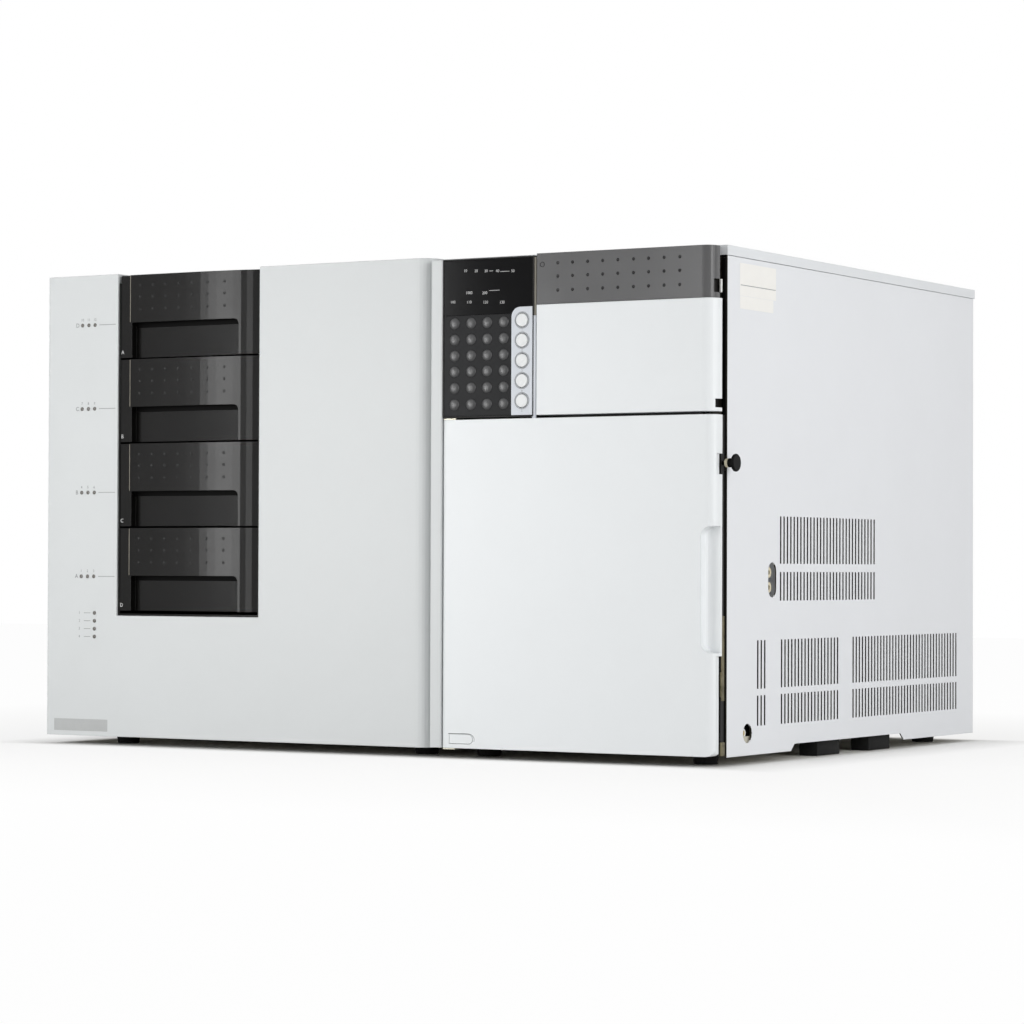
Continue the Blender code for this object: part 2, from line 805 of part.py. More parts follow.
def sample_chamber(grey):
    left, right = left_x(CHAMBER_LEFT), module_x(CHAMBER_RIGHT)
    front = depth(FRAME_BACK) + GAP
    walls = block((left, right), (front, depth(CHAMBER_BACK)), (CHAMBER_BOTTOM, CHAMBER_TOP))
    inside = extrude(
        rounded(
            (left + CHAMBER_WALL, right - CHAMBER_WALL),
            (CHAMBER_BOTTOM + CHAMBER_WALL, CHAMBER_TOP - CHAMBER_WALL),
            (CHAMBER_CORNER,) * 4,
        ),
        "Y",
        front - OVERRUN,
        depth(CHAMBER_BACK) - CHAMBER_WALL,
    )
    port = extrude(port_hole(), "X", left - OVERRUN, left + CHAMBER_WALL + OVERRUN)
    return finish(cut(walls, inside, port), "sample_chamber", grey)


def door_shell():
    """The lower door, with the finger recess moulded into its right edge."""
    y = (FACE, depth(FRONT_DEPTH))
    outer = extrude(
        rounded((DOOR_LEFT, DOOR_RIGHT), y, (DOOR_PIVOT, DOOR_EDGE, 0, 0), 6), "Z", DOOR_BOTTOM, DOOR_TOP
    )
    corner = [
        (DOOR_RIGHT + OVERRUN, DOOR_BOTTOM - OVERRUN),
        (DOOR_RIGHT + OVERRUN, DOOR_BOTTOM + DOOR_CORNER),
    ]
    corner += arc((DOOR_RIGHT - DOOR_CORNER, DOOR_BOTTOM + DOOR_CORNER), DOOR_CORNER, 0, -90, 6)
    corner.append((DOOR_RIGHT - DOOR_CORNER, DOOR_BOTTOM - OVERRUN))
    corner_cut = extrude(corner, "Y", y[0] - OVERRUN, y[1] + OVERRUN)
    recess_x = DOOR_RIGHT - RECESS_WIDTH
    hollow_y = (y[0] + DOOR_WALL, y[1] + OVERRUN)
    low = DOOR_BOTTOM + DOOR_WALL
    high = DOOR_TOP - DOOR_WALL
    near = DOOR_LEFT + DOOR_WALL
    far = DOOR_RIGHT - DOOR_SIDE_WALL
    below = RECESS_BOTTOM - DOOR_WALL
    above = RECESS_TOP + DOOR_WALL
    hollow = extrude(
        [
            (near, low),
            (far - DOOR_CORNER, low),
            (far, low + DOOR_CORNER),
            (far, below),
            (recess_x - DOOR_WALL, below),
            (recess_x - DOOR_WALL, above),
            (far, above),
            (far, high),
            (near, high),
        ],
        "Y",
        hollow_y[0],
        hollow_y[1],
    )
    recess = finger_recess(recess_x, y[0])
    notch_x = (DOOR_RIGHT - EDGE_NOTCH, DOOR_RIGHT + OVERRUN)
    notch_y = (y[0] + EDGE_NOTCH_START, y[1] + OVERRUN)
    tube_notch = block(notch_x, notch_y, (KNOB_Z - TUBE_NOTCH_BELOW, KNOB_Z + TUBE_NOTCH_ABOVE))
    low_notch = block(notch_x, notch_y, (DOOR_BOTTOM - OVERRUN, RECESS_BOTTOM - DOOR_WALL))
    pivot_x, pivot_y = DOOR_LEFT + DOOR_PIVOT, FACE + DOOR_PIVOT
    pin_holes = rod(
        "Z", (pivot_x, pivot_y), PIN_RADIUS + PIN_RUN, DOOR_BOTTOM - OVERRUN, DOOR_TOP + OVERRUN
    )
    window = extrude(power_outline(GAP), "Y", y[0] - OVERRUN, y[0] + DOOR_WALL + OVERRUN)
    return cut(outer, corner_cut, hollow, recess, tube_notch, low_notch, pin_holes, window)


def finger_recess(left, front):
    """The cutter for the finger recess: round corners in front view, and a round inner edge in plan."""
    right = DOOR_RIGHT + OVERRUN
    view = rounded((left, right), (RECESS_BOTTOM, RECESS_TOP), (RECESS_CORNER, 0, 0, RECESS_CORNER))
    plan = rounded((left, right), (front - OVERRUN, front + RECESS_DEPTH), (0, 0, 0, RECESS_FILLET))
    whole = extrude(view, "Y", front - OVERRUN - OVERRUN, front + RECESS_DEPTH + OVERRUN)
    scoop = extrude(plan, "Z", RECESS_BOTTOM - OVERRUN, RECESS_TOP + OVERRUN)
    return boolean(whole, [scoop], "INTERSECT")


def power_outline(grow):
    """The power button's outline, square at its left end and round at its right."""
    left = left_x(POWER_LEFT) - grow
    right = left_x(POWER_LEFT) + POWER_WIDTH + grow
    low = POWER_BOTTOM - grow
    high = POWER_BOTTOM + POWER_HEIGHT + grow
    radius = (high - low) / 2
    return [(left, low), *arc((right - radius, low + radius), radius, -90, 90, 8), (left, high)]


def lower_door(white, liner, steel):
    hinge = pivot("lower_door_pivot", (DOOR_LEFT + DOOR_PIVOT, FACE + DOOR_PIVOT, DOOR_BOTTOM))
    finish(door_shell(), "lower_door", white, hinge)
    y = (depth(LINER_START), depth(LINER_BACK))
    panel = block(
        (DOOR_LEFT + LINER_SIDE, module_x(LINER_RIGHT)), y, (LINER_BOTTOM, LINER_TOP)
    )
    hole_x = (left_x(CHAMBER_LEFT + CHAMBER_WALL), module_x(CHAMBER_RIGHT + CHAMBER_WALL))
    hole_z = (CHAMBER_BOTTOM + CHAMBER_WALL, CHAMBER_TOP - CHAMBER_WALL)
    inner = [
        (hole_x[0] - SEAL_INSET, hole_x[1] + SEAL_INSET),
        (hole_z[0] - SEAL_INSET, hole_z[1] + SEAL_INSET),
    ]
    outer = [(u - SEAL_WIDTH, v + SEAL_WIDTH) for u, v in inner]
    seal = extrude(rounded(*outer), "Y", y[1] - BOND, depth(SEAL_BACK), [rounded(*inner)])
    finish(weld(panel, seal), "door_liner", liner, hinge)
    press = pivot("power_button_pivot", (left_x(POWER_LEFT), FRONT, POWER_BOTTOM), hinge)
    button = extrude(power_outline(0), "Y", FRONT, FRONT + POWER_DEPTH)
    back = FACE + DOOR_WALL + GAP
    flange = block(
        (left_x(POWER_LEFT) - POWER_FLANGE, left_x(POWER_LEFT) + POWER_WIDTH + POWER_FLANGE),
        (back, FRONT + POWER_DEPTH - BOND),
        (POWER_BOTTOM + BOND, POWER_BOTTOM + POWER_HEIGHT - BOND),
    )
    finish(weld(button, flange), "power_button", white, press)
    door_hinges(steel)


def door_hinges(steel):
    """Two bent brackets on the frame, each with a pin that stands in the door."""
    centre = (DOOR_LEFT + DOOR_PIVOT, FACE + DOOR_PIVOT)
    x = (centre[0] - DOOR_PIVOT + SEAM, centre[0] + BRACKET_WIDTH)
    y = (centre[1] - PIN_RADIUS - SEAM, depth(FRAME_START) - GAP)
    upper_low = DOOR_TOP + GAP
    upper_high = upper_low + BRACKET_THICKNESS
    upper = block(x, y, (upper_low, upper_high))
    tab = block(x, (y[1] - BRACKET_THICKNESS, y[1]), (upper_low, upper_low + BRACKET_TAB))
    pin = rod("Z", centre, PIN_RADIUS, DOOR_TOP - DOOR_PIN_LENGTH, upper_low + BOND)
    finish(weld(upper, tab, pin), "door_hinge_upper", steel)
    lower_high = DOOR_BOTTOM - GAP
    lower_low = lower_high - BRACKET_THICKNESS
    lower = block(x, (y[0], depth(FRAME_BACK)), (lower_low, lower_high))
    pin = rod("Z", centre, PIN_RADIUS, lower_high - BOND, DOOR_BOTTOM + DOOR_PIN_LENGTH)
    finish(weld(lower, pin), "door_hinge_lower", steel)


def cover_profile(right, inset):
    """The upper cover's plan, with its right edge rounded about the hinge."""
    x = (left_x(COVER_LEFT) + inset, right - inset)
    y = (FACE + inset, depth(FRONT_DEPTH) + (OVERRUN if inset else 0))
    radius = COVER_PIVOT - (COVER_RIGHT - right) - inset
    return rounded(x, y, (0, radius, 0, 0), 8)


def cover_shell(low, high, right, arm_span):
    """A stretch of the upper cover, hollow behind, with the two lugs and the notch of one hinge arm."""
    axis = (COVER_RIGHT - COVER_PIVOT, FACE + COVER_PIVOT)
    outer = extrude(cover_profile(right, 0), "Z", low, high)
    hollow = extrude(cover_profile(right, COVER_WALL), "Z", low + COVER_WALL, high - COVER_WALL)
    lug_x = (axis[0] - COVER_WALL - PIN_RADIUS, COVER_RIGHT + OVERRUN)
    lug_y = (FACE - OVERRUN, depth(FRONT_DEPTH) + OVERRUN + OVERRUN)
    spans = (
        (arm_span[0] - GAP - ARM_LUG, arm_span[0] - GAP),
        (arm_span[1] + GAP, arm_span[1] + GAP + ARM_LUG),
    )
    body = cut(outer, cut(hollow, *[block(lug_x, lug_y, span) for span in spans]))
    notch = block(
        (right - ARM_NOTCH, right + OVERRUN),
        (FACE + ARM_NOTCH, depth(FRONT_DEPTH) + OVERRUN),
        (arm_span[0] - GAP, arm_span[1] + GAP),
    )
    bore_z = (spans[0][0] - OVERRUN, spans[1][1] + OVERRUN)
    bore = rod("Z", axis, PIN_RADIUS + PIN_RUN, *bore_z)
    return cut(body, notch, bore)


def upper_cover(white, band, black):
    axis = (COVER_RIGHT - COVER_PIVOT, FACE + COVER_PIVOT)
    hinge = pivot("upper_cover_pivot", (*axis, above(COVER_BOTTOM)))
    spans = [(above(low), above(high)) for low, high in ARM_SPANS]
    shell = cover_shell(above(COVER_BOTTOM), above(BAND_BOTTOM) - GAP, COVER_RIGHT, spans[0])
    finish(shell, "upper_cover", white, hinge)
    strip = cover_shell(above(BAND_BOTTOM), above(COVER_TOP), COVER_RIGHT - BAND_INSET, spans[1])
    finish(strip, "cover_band", band, hinge)
    for name, (low, high) in zip(("lower", "upper"), spans):
        arm = block(
            (axis[0] - ARM_EYE, axis[0] + ARM_EYE), (axis[1], SIDE_FRONT - GAP), (low, high)
        )
        eye = rod("Z", axis, ARM_EYE, low, high)
        pin = rod("Z", axis, PIN_RADIUS, low - ARM_LUG, high + ARM_LUG)
        finish(weld(arm, eye, pin), f"cover_hinge_{name}", black)


def control_panel(dark, glass, keypad, white, board):
    x = (DOOR_LEFT, left_x(PANEL_RIGHT))
    z = (above(PANEL_BOTTOM), above(FRAME_TOP))
    front = depth(PANEL_START)
    pocket_back = front + OVERLAY_THICKNESS + GAP
    back = depth(FRONT_DEPTH)
    housing = block(x, (front, back), z)
    pocket_x = (x[0] + PANEL_RIM, x[1] - PANEL_RIM)
    pocket_z = (z[0] + PANEL_RIM, z[1] - PANEL_RIM)
    pocket = block(pocket_x, (front - OVERRUN, pocket_back), pocket_z)
    hollow = block(
        (x[0] + PANEL_WALL, x[1] - PANEL_WALL),
        (pocket_back + PANEL_WALL, back + OVERRUN),
        (z[0] + PANEL_WALL, z[1] - PANEL_WALL),
    )
    key_centres = [(left_x(KEY_X), above(KEY_FIRST_Z) - index * KEY_PITCH) for index in range(KEY_COUNT)]
    key_holes = [
        rod("Y", centre, KEY_HOLE_RADIUS, pocket_back - OVERLAY_THICKNESS, pocket_back + PANEL_WALL + OVERRUN)
        for centre in key_centres
    ]
    finish(cut(housing, pocket, hollow, *key_holes), "control_housing", dark)
    overlay = (front, front + OVERLAY_THICKNESS)
    keypad_overlay(pocket_x, pocket_z, overlay, keypad)
    display_overlay(pocket_x, pocket_z, overlay, glass)
    strip = extrude(
        rounded(
            (left_x(KEYPAD_RIGHT) + GAP, pocket_x[1] - GAP),
            (pocket_z[0] + GAP, above(STRIP_TOP)),
            (0, 0, 0, STRIP_CORNER),
        ),
        "Y",
        overlay[0],
        overlay[1],
        [circle(centre, KEY_HOLE_RADIUS, ROUND) for centre in key_centres],
    )
    finish(strip, "key_strip", white)
    wall_back = pocket_back + PANEL_WALL
    board_front = wall_back + GAP + KEY_FLANGE + KEY_TRAVEL + BOARD_CONTACT
    plate_x = (x[0] + BOARD_MARGIN, x[1] - BOARD_MARGIN)
    plate_z = (z[0] + BOARD_MARGIN, z[1] - BOARD_MARGIN)
    plate = block(plate_x, (board_front, board_front + BOARD_THICKNESS), plate_z)
    spacer_y = (wall_back + GAP, board_front + BOND)
    corner_x = (plate_x[0] + BOARD_MARGIN, plate_x[1] - BOARD_MARGIN)
    corner_z = (plate_z[0] + BOARD_MARGIN, plate_z[1] - BOARD_MARGIN)
    spacers = [
        rod("Y", (u, v), BOARD_MARGIN / 2, *spacer_y, TINY_ROUND) for u in corner_x for v in corner_z
    ]
    finish(weld(plate, *spacers), "control_board", board)
    for number, centre in enumerate(key_centres, start=1):
        round_key(number, centre, wall_back, white)


def round_key(number, centre, wall_back, white):
    """A round key: crowned cap, and a flange behind the panel that keeps it in."""
    press = pivot(f"round_key_{number}_pivot", (centre[0], FRONT, centre[1]))
    flange = wall_back + GAP
    profile = [
        (0, FRONT),
        (KEY_RADIUS - KEY_CROWN, FRONT),
        (KEY_RADIUS, FRONT + KEY_CROWN),
        (KEY_RADIUS, flange),
        (KEY_FLANGE_RADIUS, flange),
        (KEY_FLANGE_RADIUS, flange + KEY_FLANGE),
        (0, flange + KEY_FLANGE),
    ]
    finish(turned(profile, "Y", centre, ROUND), f"round_key_{number}", white, press)


def keypad_overlay(pocket_x, pocket_z, overlay, keypad):
    """One sheet with rows of domed keys pressed into it."""
    sheet = block(
        (pocket_x[0] + GAP, left_x(KEYPAD_RIGHT)), overlay, (pocket_z[0] + GAP, above(KEYPAD_TOP))
    )
    domes = []
    for column in range(DOME_COLUMNS):
        for row in range(DOME_ROWS):
            centre = (
                left_x(DOME_FIRST_X) + column * DOME_PITCH_X,
                above(DOME_FIRST_Z) - row * DOME_PITCH_Z,
            )
            profile = [
                (0, overlay[0] - DOME_HEIGHT),
                (DOME_RADIUS * DOME_CROWN_SHARE, overlay[0] - DOME_HEIGHT * DOME_RISE_SHARE),
                (DOME_RADIUS, overlay[0] + BOND),
                (0, overlay[0] + BOND),
            ]
            domes.append(turned(profile, "Y", centre, TINY_ROUND))
    finish(weld(sheet, together(*domes)), "keypad_membrane", keypad)


def display_overlay(pocket_x, pocket_z, overlay, glass):
    """The dark window, which follows the key strip's rounded corner."""
    strip_left = left_x(KEYPAD_RIGHT) + GAP
    centre = (strip_left + STRIP_CORNER, above(STRIP_TOP) - STRIP_CORNER)
    radius = STRIP_CORNER + GAP
    low = above(KEYPAD_TOP) + GAP
    start = math.degrees(math.asin((low - centre[1]) / radius))
    outline = [(pocket_x[0] + GAP, low)]
    outline += arc(centre, radius, 180 - start, 90, 5)
    outline += [
        (pocket_x[1] - GAP, above(STRIP_TOP) + GAP),
        (pocket_x[1] - GAP, pocket_z[1] - GAP),
        (pocket_x[0] + GAP, pocket_z[1] - GAP),
    ]
    finish(extrude(outline, "Y", overlay[0], overlay[1]), "display_window", glass)


def side_knob(black):
    """A round knob on the end of a stem that turns in the front frame."""
    turn = pivot("side_knob_pivot", (MODULE_RIGHT, depth(KNOB_Y), KNOB_Z))
    tip = MODULE_RIGHT + KNOB_REACH
    disc = tip - KNOB_THICKNESS
    collar = disc - KNOB_COLLAR
    profile = [
        (0, module_x(KNOB_STEM_START) + GAP),
        (KNOB_STEM_RADIUS, module_x(KNOB_STEM_START) + GAP),
        (KNOB_STEM_RADIUS, collar - KNOB_BUSH),
        (KNOB_BUSH_RADIUS, collar - KNOB_BUSH),
        (KNOB_BUSH_RADIUS, collar),
        (KNOB_COLLAR_RADIUS, collar),
        (KNOB_COLLAR_RADIUS, disc),
        (KNOB_RADIUS - KNOB_RIM, disc),
        (KNOB_RADIUS, disc + KNOB_RIM),
        (KNOB_RADIUS, tip - KNOB_RIM),
        (KNOB_RADIUS - KNOB_RIM, tip),
        (0, tip),
    ]
    finish(turned(profile, "X", (depth(KNOB_Y), KNOB_Z), ROUND), "side_knob", black, turn)


def side_fittings(cream):
    """Two tube fittings on a plate behind the oval hole, and the drain port behind the round one."""
    y = SIDE_FRONT + OVAL_Y
    plate_x = module_x(FITTING_PLATE_X)
    end = module_x(FITTING_END)
    plate = block(
        (plate_x - FITTING_PLATE, plate_x),
        (y - OVAL_WIDTH, y + OVAL_WIDTH),
        (OVAL_Z - FITTING_PLATE_SIZE / 2, OVAL_Z + FITTING_PLATE_SIZE / 2),
    )
    foot = block(
        (module_x(CHAMBER_RIGHT) + GAP, plate_x - FITTING_PLATE + BOND),
        (y - FITTING_RADIUS, y + FITTING_RADIUS),
        (OVAL_Z - FITTING_SPACING, OVAL_Z + FITTING_SPACING),
    )
    places = [(y, OVAL_Z - FITTING_SPACING / 2), (y, OVAL_Z + FITTING_SPACING / 2)]
    tubes = [rod("X", place, FITTING_RADIUS, plate_x - BOND, end) for place in places]
    bores = [rod("X", place, FITTING_BORE, plate_x + BOND, end + OVERRUN, TINY_ROUND) for place in places]
    finish(cut(weld(plate, foot, *tubes), *bores), "tube_fittings", cream)
    drain_y = SIDE_FRONT + ROUND_HOLE_Y
    start, stop = module_x(DRAIN_START), module_x(DRAIN_END)
    pipe = rod("X", (drain_y, ROUND_HOLE_Z), DRAIN_RADIUS, start, stop)
    bore = rod("X", (drain_y, ROUND_HOLE_Z), DRAIN_BORE, start + DRAIN_FOOT, stop + OVERRUN, TINY_ROUND)
    base = block(
        (start, start + DRAIN_FOOT),
        (drain_y - DRAIN_RADIUS, drain_y + DRAIN_RADIUS),
        (PAN_BOTTOM + PAN_THICKNESS + GAP, ROUND_HOLE_Z),
    )
    finish(cut(weld(pipe, base), bore), "drain_port", cream)


def sample_rack(metal, white):
    """The rack on the chamber's floor: a nest for one plate, and a trough beside it."""
    low = CHAMBER_BOTTOM + CHAMBER_WALL + GAP
    top = low + RACK_PLATE_THICKNESS
    x = (
        left_x(CHAMBER_LEFT + CHAMBER_WALL + CHAMBER_CORNER),
        module_x(CHAMBER_RIGHT + CHAMBER_WALL + CHAMBER_CORNER),
    )
    base = block(x, (depth(RACK_PLATE_START), depth(RACK_PLATE_END)), (low, top))
    trough_x = (x[1] - TROUGH_WIDTH, x[1] - BOND)
    trough_y = (depth(NEST_START), depth(NEST_START) + TROUGH_LENGTH)
    trough = block(trough_x, trough_y, (top - BOND, top + TROUGH_HEIGHT))
    pocket = block(
        (trough_x[0] + TROUGH_WALL, trough_x[1] - TROUGH_WALL),
        (trough_y[0] + TROUGH_WALL, trough_y[1] - TROUGH_WALL),
        (top + RACK_PLATE_THICKNESS, top + TROUGH_HEIGHT + OVERRUN),
    )
    trough = cut(trough, pocket)
    nest_x = (x[0] + NEST_RIM, x[0] + NEST_RIM + NEST_LENGTH)
    nest_y = (depth(NEST_START) + NEST_RIM, depth(NEST_START) + NEST_RIM + NEST_DEPTH)
    outer = ((nest_x[0] - NEST_RIM, nest_x[1] + NEST_RIM), (nest_y[0] - NEST_RIM, nest_y[1] + NEST_RIM))
    nest = extrude(rounded(*outer), "Z", top - BOND, top + NEST_HEIGHT, [rounded(nest_x, nest_y)])
    finish(weld(base, trough, nest), "sample_rack", metal)
    centre = (module_x(SLIDE_X) - CARRIAGE_SIZE / 2 - GAP - HEAD_WIDTH / 2, depth(CARRIAGE_Y))
    cup_top = low + PORT_CUP_HEIGHT
    cup = rod("Z", centre, PORT_CUP_RADIUS, low, cup_top)
    bore = rod("Z", centre, PORT_CUP_BORE, low + RACK_PLATE_THICKNESS, cup_top + OVERRUN)
    finish(cut(cup, bore), "injection_port", white)


def rail_outline(grow, behind):
    """The rail's section: a bar against the wall, with a groove along its top and its bottom."""
    back = depth(CHAMBER_BACK) - CHAMBER_WALL - GAP + behind
    rail_front = back - behind - RAIL_DEPTH
    front = rail_front - grow
    low = BEAM_Z - RAIL_HEIGHT / 2 - grow
    high = BEAM_Z + RAIL_HEIGHT / 2 + grow
    lip = rail_front + RAIL_DEPTH / 2 + grow
    return [
        (front, low),
        (lip, low),
        (lip, low + RAIL_GROOVE),
        (back, low + RAIL_GROOVE),
        (back, high - RAIL_GROOVE),
        (lip, high - RAIL_GROOVE),
        (lip, high),
        (front, high),
    ]


def gantry(steel, dark, grey):
    """A rail along the chamber's back wall, a slide with a beam, and the needle that rides on it."""
    x = (
        left_x(CHAMBER_LEFT + CHAMBER_WALL) + GAP,
        module_x(CHAMBER_RIGHT + CHAMBER_WALL) - GAP,
    )
    finish(extrude(rail_outline(0, 0), "X", *x), "gantry_rail", steel)
    centre_x = module_x(SLIDE_X)
    rail_front = depth(CHAMBER_BACK) - CHAMBER_WALL - GAP - RAIL_DEPTH
    slide_place = pivot("gantry_slide_pivot", (centre_x, rail_front, BEAM_Z))
    half = SLIDE_WIDTH / 2
    slide = block(
        (centre_x - half, centre_x + half),
        (rail_front - SLIDE_WALL, rail_front + RAIL_DEPTH - RAIL_GROOVE),
        (BEAM_Z - RAIL_HEIGHT / 2 - SLIDE_WALL, BEAM_Z + RAIL_HEIGHT / 2 + SLIDE_WALL),
    )
    groove = extrude(
        rail_outline(GAP, OVERRUN), "X", centre_x - half - OVERRUN, centre_x + half + OVERRUN
    )
    beam_half = BEAM_SIZE / 2
    beam = block(
        (centre_x - beam_half, centre_x + beam_half),
        (depth(BEAM_START), rail_front - SLIDE_WALL + BOND),
        (BEAM_Z - beam_half, BEAM_Z + beam_half),
    )
    finish(cut(weld(slide, beam), groove), "gantry_slide", dark, slide_place)
    carriage_y = depth(CARRIAGE_Y)
    carriage_place = pivot("needle_carriage_pivot", (centre_x, carriage_y, BEAM_Z), slide_place)
    box_half = CARRIAGE_SIZE / 2
    body = block(
        (centre_x - box_half, centre_x + box_half),
        (carriage_y - box_half, carriage_y + box_half),
        (BEAM_Z - box_half, BEAM_Z + box_half),
    )
    clearance = beam_half + GAP
    passage = block(
        (centre_x - clearance, centre_x + clearance),
        (carriage_y - box_half - OVERRUN, carriage_y + box_half + OVERRUN),
        (BEAM_Z - clearance, BEAM_Z + clearance),
    )
    finish(cut(body, passage), "needle_carriage", grey, carriage_place)
    head_x = (centre_x - box_half - GAP - HEAD_WIDTH, centre_x - box_half - GAP)
    head_place = pivot("needle_head_pivot", (head_x[0], carriage_y, HEAD_BOTTOM), carriage_place)
    head = block(head_x, (carriage_y - HEAD_DEPTH / 2, carriage_y + HEAD_DEPTH / 2), (HEAD_BOTTOM, HEAD_TOP))
    tip = HEAD_BOTTOM - NEEDLE_LENGTH
    point = [
        (0, tip),
        (NEEDLE_RADIUS, tip + NEEDLE_POINT),
        (NEEDLE_RADIUS, HEAD_BOTTOM + BOND),
        (0, HEAD_BOTTOM + BOND),
    ]
    needle = turned(
        point,
        "Z",
        ((head_x[0] + head_x[1]) / 2, carriage_y),
        TINY_ROUND,
    )
    finish(weld(head, needle), "needle_head", steel, head_place)


def upper_bay(metal, dark):
    """The injection valve and the metering pump on their deck, behind the upper cover."""
    foot_z = CHAMBER_TOP + GAP
    deck_y = (depth(DECK_START), depth(DECK_START) + DECK_THICKNESS)
    x = (left_x(DECK_LEFT), module_x(DECK_RIGHT))
    foot_end = deck_y[1] + DECK_FOOT
    bend = [
        (deck_y[0], foot_z),
        (foot_end, foot_z),
        (foot_end, foot_z + DECK_THICKNESS),
        (deck_y[1], foot_z + DECK_THICKNESS),
        (deck_y[1], above(DECK_TOP)),
        (deck_y[0], above(DECK_TOP)),
    ]
    deck = extrude(bend, "X", *x)
    inset = (x[1] - x[0]) * VALVE_SHARE
    valve = (x[0] + inset, above(VALVE_Z))
    face_end = deck_y[0] - VALVE_LENGTH
    end = face_end - VALVE_FACE_LENGTH
    drive = rod("Y", valve, VALVE_RADIUS, face_end, deck_y[0] + BOND, ROUND)
    face = rod("Y", valve, VALVE_FACE, end, face_end + BOND, ROUND)
    ports = []
    for index in range(VALVE_PORTS):
        angle = math.tau * index / VALVE_PORTS
        place = (valve[0] + FITTING_CIRCLE * math.cos(angle), valve[1] + FITTING_CIRCLE * math.sin(angle))
        ports.append(rod("Y", place, VALVE_FITTING, end - VALVE_FITTING_LENGTH, end + BOND, TINY_ROUND))
    finish(weld(deck, drive, face, *ports), "injection_valve", metal)
    pump = (x[1] - inset, above(VALVE_Z))
    pump_x = (pump[0] - PUMP_WIDTH / 2, pump[0] + PUMP_WIDTH / 2)
    pump_z = (pump[1] - PUMP_HEIGHT / 2, pump[1] + PUMP_HEIGHT / 2)
    pump_y = (deck_y[0] - GAP - PUMP_LENGTH, deck_y[0] - GAP)
    body = block(pump_x, pump_y, pump_z)
    head = rod(
        "Y",
        pump,
        PUMP_HEAD_RADIUS,
        pump_y[0] - PUMP_HEAD_LENGTH,
        pump_y[0] + BOND,
        ROUND,
    )
    finish(weld(body, head), "metering_pump", dark)


def cooling(metal, dark):
    """The heat sink on the chamber's back, and the fan behind it."""
    middle = (left_x(CHAMBER_LEFT) + module_x(CHAMBER_RIGHT)) / 2
    x = (middle - SINK_WIDTH / 2, middle + SINK_WIDTH / 2)
    start = depth(CHAMBER_BACK) + GAP
    base_end = start + SINK_BASE
    fin_end = base_end + SINK_FIN
    pitch = (x[1] - x[0] - SINK_FIN_THICKNESS) / (SINK_FINS - 1)
    comb = [(x[0], start)]
    for index in range(SINK_FINS):
        left = x[0] + index * pitch
        right = left + SINK_FIN_THICKNESS
        foot = start if index == SINK_FINS - 1 else base_end
        fin = [(right, foot), (right, fin_end), (left, fin_end)]
        comb = fin + ([(left, base_end)] if index else []) + comb
    finish(extrude(comb, "Z", SINK_BOTTOM, SINK_TOP), "heat_sink", metal)
    centre = ((x[0] + x[1]) / 2, (SINK_BOTTOM + SINK_TOP) / 2)
    half = FAN_SIZE / 2
    front = fin_end + GAP
    back = front + FAN_DEPTH
    frame = extrude(
        rounded(
            (centre[0] - half, centre[0] + half), (centre[1] - half, centre[1] + half), (FAN_STRUT,) * 4, 2
        ),
        "Y",
        front,
        back,
        [circle(centre, FAN_BORE, ROUND)],
    )
    reach = FAN_BORE + BOND
    struts = [
        block(
            (centre[0] - reach, centre[0] + reach),
            (back - FAN_STRUT / 2, back - BOND),
            (centre[1] - FAN_STRUT / 2, centre[1] + FAN_STRUT / 2),
        ),
        block(
            (centre[0] - FAN_STRUT / 2, centre[0] + FAN_STRUT / 2),
            (back - FAN_STRUT / 2, back - BOND),
            (centre[1] - reach, centre[1] + reach),
        ),
        rod("Y", centre, FAN_HUB, back - FAN_STRUT / 2, back - BOND / 2, ROUND),
    ]
    finish(weld(frame, *struts), "fan_frame", dark)
    spin = pivot("fan_rotor_pivot", (centre[0], front, centre[1]))
    rotor_back = back - FAN_STRUT / 2 - GAP
    rotor_front = front + FAN_STRUT / 2
    hub = rod("Y", centre, FAN_HUB, rotor_front, rotor_back, ROUND)
    middle = (rotor_front + rotor_back) / 2
    blades = []
    for index in range(FAN_BLADES):
        blade = block(
            (FAN_HUB - FAN_STRUT, FAN_TIP),
            (-FAN_BLADE_THICKNESS / 2, FAN_BLADE_THICKNESS / 2),
            (-FAN_BLADE_DEPTH / 2, FAN_BLADE_DEPTH / 2),
        )
        twist = Matrix.Rotation(math.radians(90 - FAN_BLADE_TWIST), 4, "X")
        turn = Matrix.Rotation(math.tau * index / FAN_BLADES, 4, "Y")
        blade.data.transform(Matrix.Translation(Vector((centre[0], middle, centre[1]))) @ turn @ twist)
        blades.append(blade)
    finish(weld(hub, *blades), "fan_rotor", dark, spin)


